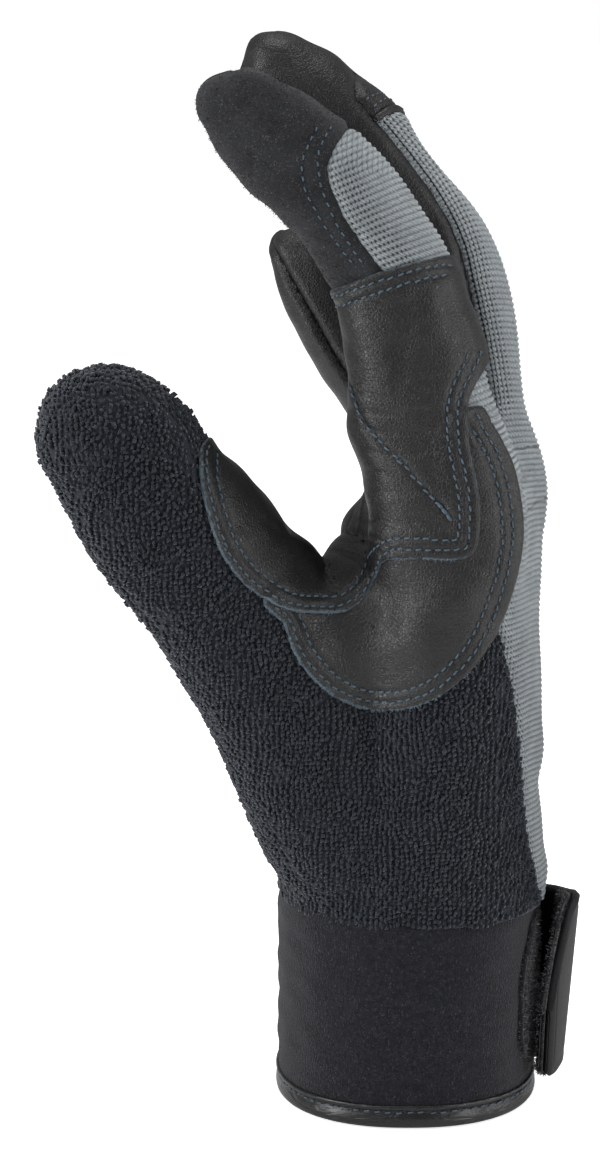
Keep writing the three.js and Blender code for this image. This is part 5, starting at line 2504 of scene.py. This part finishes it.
@dataclass(frozen=True)
class Band:
    """A closed wall round the cuff, from a profile of offsets and heights."""

    name: str
    slot: str
    profile: tuple[tuple[float, float], ...]
    node: str
    step: float = 1.2
    turns: int = 230
    wrinkle: float = 0.0

    def build(self, oval: Oval, finish: Material) -> Surface:
        """Builds and dresses the band.

        Args:
            oval: The cuff's plan.
            finish: What it is made of.

        Returns:
            The band's surface.
        """
        corners = np.array(self.profile + self.profile[:1], float)
        rows = even_line(corners, self.step)[:-1]
        turn = 2 * np.pi * (np.arange(self.turns) + 0.5) / self.turns
        grid_turn, offset = np.meshgrid(turn, rows[:, 0], indexing="ij")
        flat = oval.place(grid_turn, offset)
        high = np.broadcast_to(rows[:, 1], grid_turn.shape)
        points = np.concatenate([flat, high[..., None]], axis=-1).reshape(-1, 3)
        grid = np.arange(self.turns * len(rows)).reshape(self.turns, len(rows))
        following = np.roll(grid, -1, axis=0)
        quads = np.stack([grid, following, np.roll(following, -1, axis=1), np.roll(grid, -1, axis=1)], axis=-1)
        band = plain(points, halved(quads))
        x, y, z = band.points.T
        if self.wrinkle:
            side = ease(-x, 10, 28)
            waves = np.sin(z * 1.05 + 1.3 * np.sin(y * 0.13) + 0.4) * (0.25 + 0.75 * side)
            uneven = ripple(band.points * np.array([1, 1, 1.6]), 13.0, 9)
            outward = unit(np.stack([x, y, np.zeros_like(x)], axis=1))
            fade = ease(z, 5, 12) * ease(48 - z, 0, 6)
            band.points = band.points + outward * (self.wrinkle * (0.5 * waves + 0.8 * uneven) * fade)[:, None]
        show(band, self.name, finish, self.node)
        return band


CUFF_BAND = Band(
    "cuff_wall", "cuff_knit",
    ((0, 2.0), (0.15, 25), (0.1, 44), (-0.3, 47.2), (-1.5, 48.8), (-3, 48), (-3, 2.0)),
    "cuff", wrinkle=0.2,
)
BINDING_BAND = Band(
    "cuff_binding_fold", "binding",
    ((-0.9, 0.15), (0.0, 0.35), (0.5, 0.85), (0.68, 1.6), (0.62, 2.5), (0.36, 3.3), (0.12, 3.85), (0.2, 4.3),
     (0.52, 4.6), (0.72, 5.0), (0.6, 5.45), (0.2, 5.65), (-0.3, 5.4), (-3.0, 5.3), (-3.5, 4.8), (-3.45, 1.0),
     (-2.8, 0.2)),
    "cuff_binding", step=0.35, turns=300,
)


@dataclass(frozen=True)
class Cuff:
    """The cuff: its knitted wall, its binding and the binding's stitches."""

    oval: Oval = Oval()
    stitching: Stitching = Stitching(2.5, 1.6, 0.2, 0.16)
    stitch_height: float = 3.9
    stitch_offset: float = 0.16

    def build(self, wardrobe: Wardrobe, threads: ThreadBox) -> None:
        """Builds and dresses the cuff.

        Args:
            wardrobe: The finishes.
            threads: Where the stitches go.
        """
        CUFF_BAND.build(self.oval, wardrobe.cuff_knit)
        BINDING_BAND.build(self.oval, wardrobe.binding)
        turn = np.linspace(0, 2 * np.pi, 700)
        flat = self.oval.place(turn, self.stitch_offset)
        out = unit(flat - self.oval.place(turn, -1.0))
        level = np.zeros((len(turn), 1))
        line = np.hstack([flat, level + self.stitch_height])
        threads.sew("binding_stitches", self.stitching, line, np.hstack([out, level]), 71)


# Closure


class TabPlace(NamedTuple):
    """A place along the closure tab: x and y, its lowest and highest z, and how far it leans out."""

    x: float
    y: float
    low: float
    high: float
    lean: float


TAB = (
    TabPlace(19.9, 28.6, 11, 40, 0),
    TabPlace(27.2, 22.3, 11, 42, 0.03),
    TabPlace(33.0, 14.5, 10, 43.6, 0.06),
    TabPlace(36.2, 6, 9, 44.8, 0.085),
    TabPlace(37.2, -1, 8.2, 46.2, 0.09),
    TabPlace(36.7, -8, 7.2, 46.6, 0.085),
    TabPlace(35.1, -14, 7.0, 43, 0.07),
    TabPlace(33.4, -18.5, 7.2, 33, 0.05),
    TabPlace(32.2, -21.2, 8.5, 23, 0.04),
)


@dataclass(frozen=True)
class Closure:
    """The closure: a moulded tab, the hook tape under it and the pile patch on the cuff.

    The pile patch's outline has rows of a turn in degrees and the lowest and highest z there.
    """

    thickness: float = 1.8
    middle: float = 26.0
    hook_thickness: float = 1.8
    hook_inset: float = 0.25
    hook_start: float = 0.36
    hook_count: int = 4200
    hook_limit: float = 0.75
    gap: float = 0.3
    loop: tuple[tuple[float, float, float], ...] = (
        (-34, 17, 27), (-31.5, 13, 33), (-27, 11, 37), (-20, 9.5, 41),
        (-8, 9, 43), (6, 9, 43.5), (20, 9, 43.5), (33, 10, 42.5),
    )
    pile_height: float = 1.1
    pile_count: int = 2600
    sunk: float = 0.25

    def slab(
        self, inner: float, outer: float, inset: float, start: float, bevel: float, taper: float
    ) -> Surface:
        """Makes a rounded strip that follows the tab.

        Args:
            inner: The offset of its inner face.
            outer: The offset of its outer face.
            inset: How far it stays inside the tab's edge.
            start: Where it starts, as a share of the tab.
            bevel: The rounding of its edges.
            taper: How many rows the rounding of its ends takes.

        Returns:
            The strip.
        """
        rows = smooth_line(TAB, 16)
        rows = rows[int(start * (len(rows) - 1)):]
        along = unit(np.gradient(rows[:, :2], axis=0))
        outward = np.stack([-along[:, 1], along[:, 0]], axis=1)
        middle, half = (inner + outer) / 2, (outer - inner) / 2
        shares = np.linspace(0, 1, 45)
        ring = [(share, 1.0) for share in shares] + [(share, -1.0) for share in shares[::-1]]
        points = []
        count = len(rows)
        for i, row in enumerate(rows):
            end = min(i, count - 1 - i) / taper
            thin = math.sqrt(1 - (1 - min(end, 1)) ** 2) * 0.75 + 0.25
            low, high = row[2] + inset, row[3] - inset
            for share, side in ring:
                z = low + (high - low) * share
                edge = min(z - low, high - z)
                soft = math.sqrt(max(0.0, 1 - (1 - min(edge / bevel, 1)) ** 2))
                offset = middle + side * half * thin * (0.12 + 0.88 * soft)
                x = row[0] + row[4] * (z - self.middle) + outward[i, 0] * offset
                y = row[1] + outward[i, 1] * offset
                points.append((x, y, z))
        size = len(ring)
        grid = np.arange(count * size).reshape(count, size)
        faces = [wrapped(grid[:-1], grid[1:])]
        for ends, flip in ((grid[0], 1), (grid[-1], -1)):
            near, far = ends[: size // 2], ends[size // 2:][::-1]
            faces.append(halved(np.stack([near[:-1], near[1:], far[1:], far[:-1]], axis=-1)[:, ::flip]))
        return plain(np.array(points), np.concatenate(faces))

    def outlined(self, slab: Surface) -> Surface:
        """Presses a slim groove inside the edge of the tab's outer face.

        Args:
            slab: The tab.

        Returns:
            The tab with its groove.
        """
        x, y, height = slab.points.T
        rows = smooth_line(TAB, 16)
        turn = np.hypot(x[:, None] - rows[:, 0], y[:, None] - rows[:, 1]).argmin(axis=1)
        run = running_length(rows[:, :2])
        edge = np.minimum(height - rows[turn, 2], rows[turn, 3] - height)
        edge = np.minimum(edge, run[-1] - run[turn])
        outside = slab.normals()[:, :2] * (slab.points[:, :2] - np.array([10, 0]))
        shape = -0.28 * np.exp(-(((edge - 2.3) / 0.45) ** 2)) + 0.1 * np.exp(-(((edge - 1.3) / 0.5) ** 2))
        return slab.raised(shape * (outside.sum(axis=1) > 0))

    def hooks(self, ground: Surface, count: int, limit: float = 2.0) -> Surface:
        """Makes small hooks or stray pile.

        Args:
            ground: The surface that they stand on.
            count: How many there are.
            limit: How squarely outwards a face may look and still have them. Past 1 all faces do.

        Returns:
            The hooks.
        """
        random = np.random.default_rng(SEED + 3)
        faces = ground.points[ground.faces].mean(axis=1)
        spans = ground.spans()
        normals = unit(spans)
        allowed = (normals[:, :2] * unit(faces[:, :2] - np.array([5, 0]))).sum(axis=1) < limit
        share = np.linalg.norm(spans, axis=1) * allowed
        chosen = random.choice(len(faces), count, p=share / share.sum())
        places, ways = faces[chosen], normals[chosen]
        lean = unit(random.normal(0, 1, (count, 3)))
        steps = np.array([0.0, 0.5, 1.0])
        lines = places[:, None, :] + ways[:, None, :] * (0.5 * steps * (2 - steps))[None, :, None]
        lines = lines + lean[:, None, :] * (0.38 * steps**2)[None, :, None]
        return tubes(lines, np.tile(np.array([0.13, 0.11, 0.07]), (count, 1)), lean, 3)

    def pad(self, oval: Oval) -> Surface:
        """Makes the pile patch, a soft pad on the cuff with a thin raised edge.

        Args:
            oval: The cuff's plan.

        Returns:
            The pad.
        """
        rows = smooth_line(self.loop, 12)
        shares = np.linspace(0, 1, 50)
        points = []
        first, last = rows[0, 0], rows[-1, 0]
        for turn, low, high in rows:
            side_gap = min(turn - first, last - turn) * 0.5
            for share in shares:
                z = low + (high - low) * share
                edge = min(z - low, high - z, side_gap)
                height = self.gap + self.pile_height * math.sqrt(max(0.0, 1 - (1 - min(edge / 0.9, 1)) ** 2))
                x, y = oval.place(np.array(math.radians(turn)), height - self.sunk)
                points.append((x, y, z))
        faces = grid_faces(len(rows), len(shares), closed=False)
        pad = plain(np.array(points), faces)
        inside, _ = distance_to(pad.rim_points(), pad.points, 4.0)
        ridge = 0.22 * np.exp(-(((inside - 1.0) / 0.4) ** 2)) - 0.18 * np.exp(-(((inside - 1.9) / 0.4) ** 2))
        nap = 0.13 * ripple(pad.points, 1.7, 13) * ease(inside, 1.8, 2.6)
        return pad.raised(ridge + nap).skirted(1.2)

    def build(self, oval: Oval, wardrobe: Wardrobe) -> None:
        """Builds and dresses the tab, its hook tape and the pile patch.

        Args:
            oval: The cuff's plan.
            wardrobe: The finishes.
        """
        half = self.thickness / 2
        tab = self.outlined(self.slab(-half, half, 0.0, 0.0, 0.8, 9.0))
        show(tab, "closure_tab_moulding", wardrobe.rubber, "closure_tab")
        outer = -half - self.gap + self.sunk
        tape = self.slab(outer - self.hook_thickness, outer, self.hook_inset, self.hook_start, 0.4, 2.0)
        show(tape, "hook_tape_ground", wardrobe.hook, "hook_tape")
        hooks = self.hooks(tape, self.hook_count, self.hook_limit)
        # The hooks' pale flecks are painted glints.
        show(hooks, "hook_tape_hooks", wardrobe.bristle_with_painted_glints, "hook_tape")
        pad = self.pad(oval)
        show(pad, "loop_patch_pile", wardrobe.pile, "loop_patch")
        # The stray pile's pale flecks are painted glints.
        show(self.hooks(pad, self.pile_count), "loop_patch_nap", wardrobe.bristle_with_painted_glints, "loop_patch")


# Studio


@dataclass(frozen=True)
class Light:
    """A soft light: where it stands, its width and height, and its power."""

    name: str
    place: tuple[float, float, float]
    width: float
    height: float
    power: float

    def build(self, aim: Sequence[float]) -> None:
        """Sets the light up.

        Args:
            aim: Where it points.
        """
        made = bpy.data.lights.new(self.name, "AREA")
        made.shape = "RECTANGLE"
        made.size, made.size_y = self.width, self.height
        made.energy = self.power
        light = bpy.data.objects.new(self.name, made)
        light.location = self.place
        light.rotation_mode = "QUATERNION"
        light.rotation_quaternion = (Vector(aim) - light.location).to_track_quat("-Z", "Y")
        bpy.context.scene.collection.objects.link(light)


@dataclass(frozen=True)
class Studio:
    """The pale floor, the white surroundings and the soft lights."""

    floor_half: float = 0.3
    floor_back: float = 5.0
    floor_height: float = -0.0002
    floor_colour: tuple[float, float, float] = (250, 250, 250)
    floor_glow: float = 0.8
    surroundings: float = 0.26
    lights: tuple[Light, ...] = (
        Light("left_light", (-0.8, -0.27, 0.12), 0.2, 1.1, 6.5),
        Light("right_light", (0.66, -0.5, 0.12), 0.2, 1.1, 3.8),
        Light("side_light", (0.86, 0.02, 0.12), 0.26, 1.1, 2.8),
        Light("front_light", (-0.62, -0.62, 0.6), 0.8, 0.12, 2.4),
        Light("top_light", (0.0, 0.1, 1.7), 0.9, 0.9, 14.0),
    )

    def clear(self) -> None:
        """Takes out what a new scene starts with."""
        for name in ("Cube", "Light", "Camera"):
            if name in bpy.data.objects:
                bpy.data.objects.remove(bpy.data.objects[name])

    def build(self) -> None:
        """Builds the studio and its camera."""
        scene = bpy.context.scene
        scene.view_settings.view_transform = "Standard"
        half = self.floor_half
        mesh = bpy.data.meshes.new("studio_floor")
        corners = [(-half, -half), (half, -half), (half, self.floor_back), (-half, self.floor_back)]
        mesh.from_pydata([(x, y, self.floor_height) for x, y in corners], [], [(0, 1, 2, 3)])
        floor = bpy.data.objects.new("studio_floor", mesh)
        material = bpy.data.materials.new("floor_paper")
        material.use_nodes = True
        graph = Graph(material.node_tree)
        shader = material.node_tree.nodes["Principled BSDF"]
        shader.inputs["Roughness"].default_value = 0.95
        shader.inputs["Specular IOR Level"].default_value = 0.0
        shade = graph.rise(graph.noise(graph.place(), 3.0), 0.2, 0.8)
        pale = linear(self.floor_colour)
        graph.feed(shader.inputs["Base Color"], graph.mix(shade, pale, (1.0, 1.0, 1.0, 1.0)))
        shader.inputs["Emission Color"].default_value = (1, 1, 1, 1)
        seen = graph.node("LightPath").outputs["Is Camera Ray"]
        graph.feed(shader.inputs["Emission Strength"], graph.math("MULTIPLY", seen, self.floor_glow))
        mesh.materials.append(material)
        scene.collection.objects.link(floor)
        floor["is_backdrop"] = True
        world = bpy.data.worlds.new("studio_surroundings")
        world.use_nodes = True
        around = Graph(world.node_tree)
        background = world.node_tree.nodes["Background"]
        background.inputs["Color"].default_value = (1, 1, 1, 1)
        seen = around.node("LightPath").outputs["Is Camera Ray"]
        dimmed = around.math("MULTIPLY", around.math("SUBTRACT", 1.0, seen), self.surroundings)
        around.feed(background.inputs["Strength"], around.math("ADD", dimmed, seen))
        scene.world = world
        for light in self.lights:
            light.build((0, 0, 0.12))
        VIEW.camera()


def main() -> None:
    """Builds the glove and its studio."""
    logging.basicConfig(level=logging.INFO, format="%(message)s")
    studio = Studio()
    studio.clear()
    studio.build()
    wardrobe = Wardrobe()
    threads = ThreadBox()
    form = HandForm()
    body = form.body()
    form.cut(body)
    bare = replace(body)
    form.draw_in(body)
    saddle = SADDLE_PATCH.build(bare, wardrobe.patch_leather, threads, over=GRIP_PATCH)
    grip = GRIP_PATCH.build(bare, wardrobe.patch_leather, threads, under=SADDLE_PATCH)
    TerryPanel().build(body, (saddle, grip), wardrobe)
    LeatherPanel(Panel.PALM, "leather", folds=PALM_FOLDS).build(body, wardrobe.leather, threads)
    index_cap = LeatherPanel(Panel.INDEX_CAP, "suede", swell=0.25, lines=SUEDE_ROWS, fibres=3000)
    index_cap.build(body, wardrobe.suede, threads)
    for panel in CAPS:
        LeatherPanel(panel, "leather", divisions=1).build(body, wardrobe.leather, threads)
    KnitPanel(Panel.BACK, KNIT_BORDER, -22, (3.4, 6.0)).build(body, wardrobe.rib_knit)
    KnitPanel(Panel.INDEX_KNIT, OVAL_EDGE, -44, (5.0, 8.5), 0.36).build(body, wardrobe.rib_knit)
    for panel in FORKS:
        LeatherPanel(panel, "leather").build(body, wardrobe.leather, threads)
    HandSeams().build(body, threads)
    cuff = Cuff()
    cuff.build(wardrobe, threads)
    Closure().build(cuff.oval, wardrobe)
    threads.show({
        "patch_stitches": (wardrobe.thread, "patch_leather"),
        "suede_stitches": (wardrobe.thread, "suede"),
        "cap_stitches": (wardrobe.thread, "leather"),
        "binding_stitches": (wardrobe.thread, "binding"),
        # Painted shade of the needle holes, and the dark seam cords.
        "needle_holes": (wardrobe.dark_thread_and_hole_shade, "leather"),
        "seam_cords": (wardrobe.dark_thread_and_hole_shade, "rib_knit"),
        "raw_edge_fibres": (wardrobe.fray, "patch_leather"),
        "cap_hems": (wardrobe.leather, "leather"),
    })
    total = sum(len(piece.data.polygons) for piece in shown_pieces() if piece.type == "MESH")
    LOG.info("all pieces: %d triangles", total)


if __name__ == "__main__":
    main()
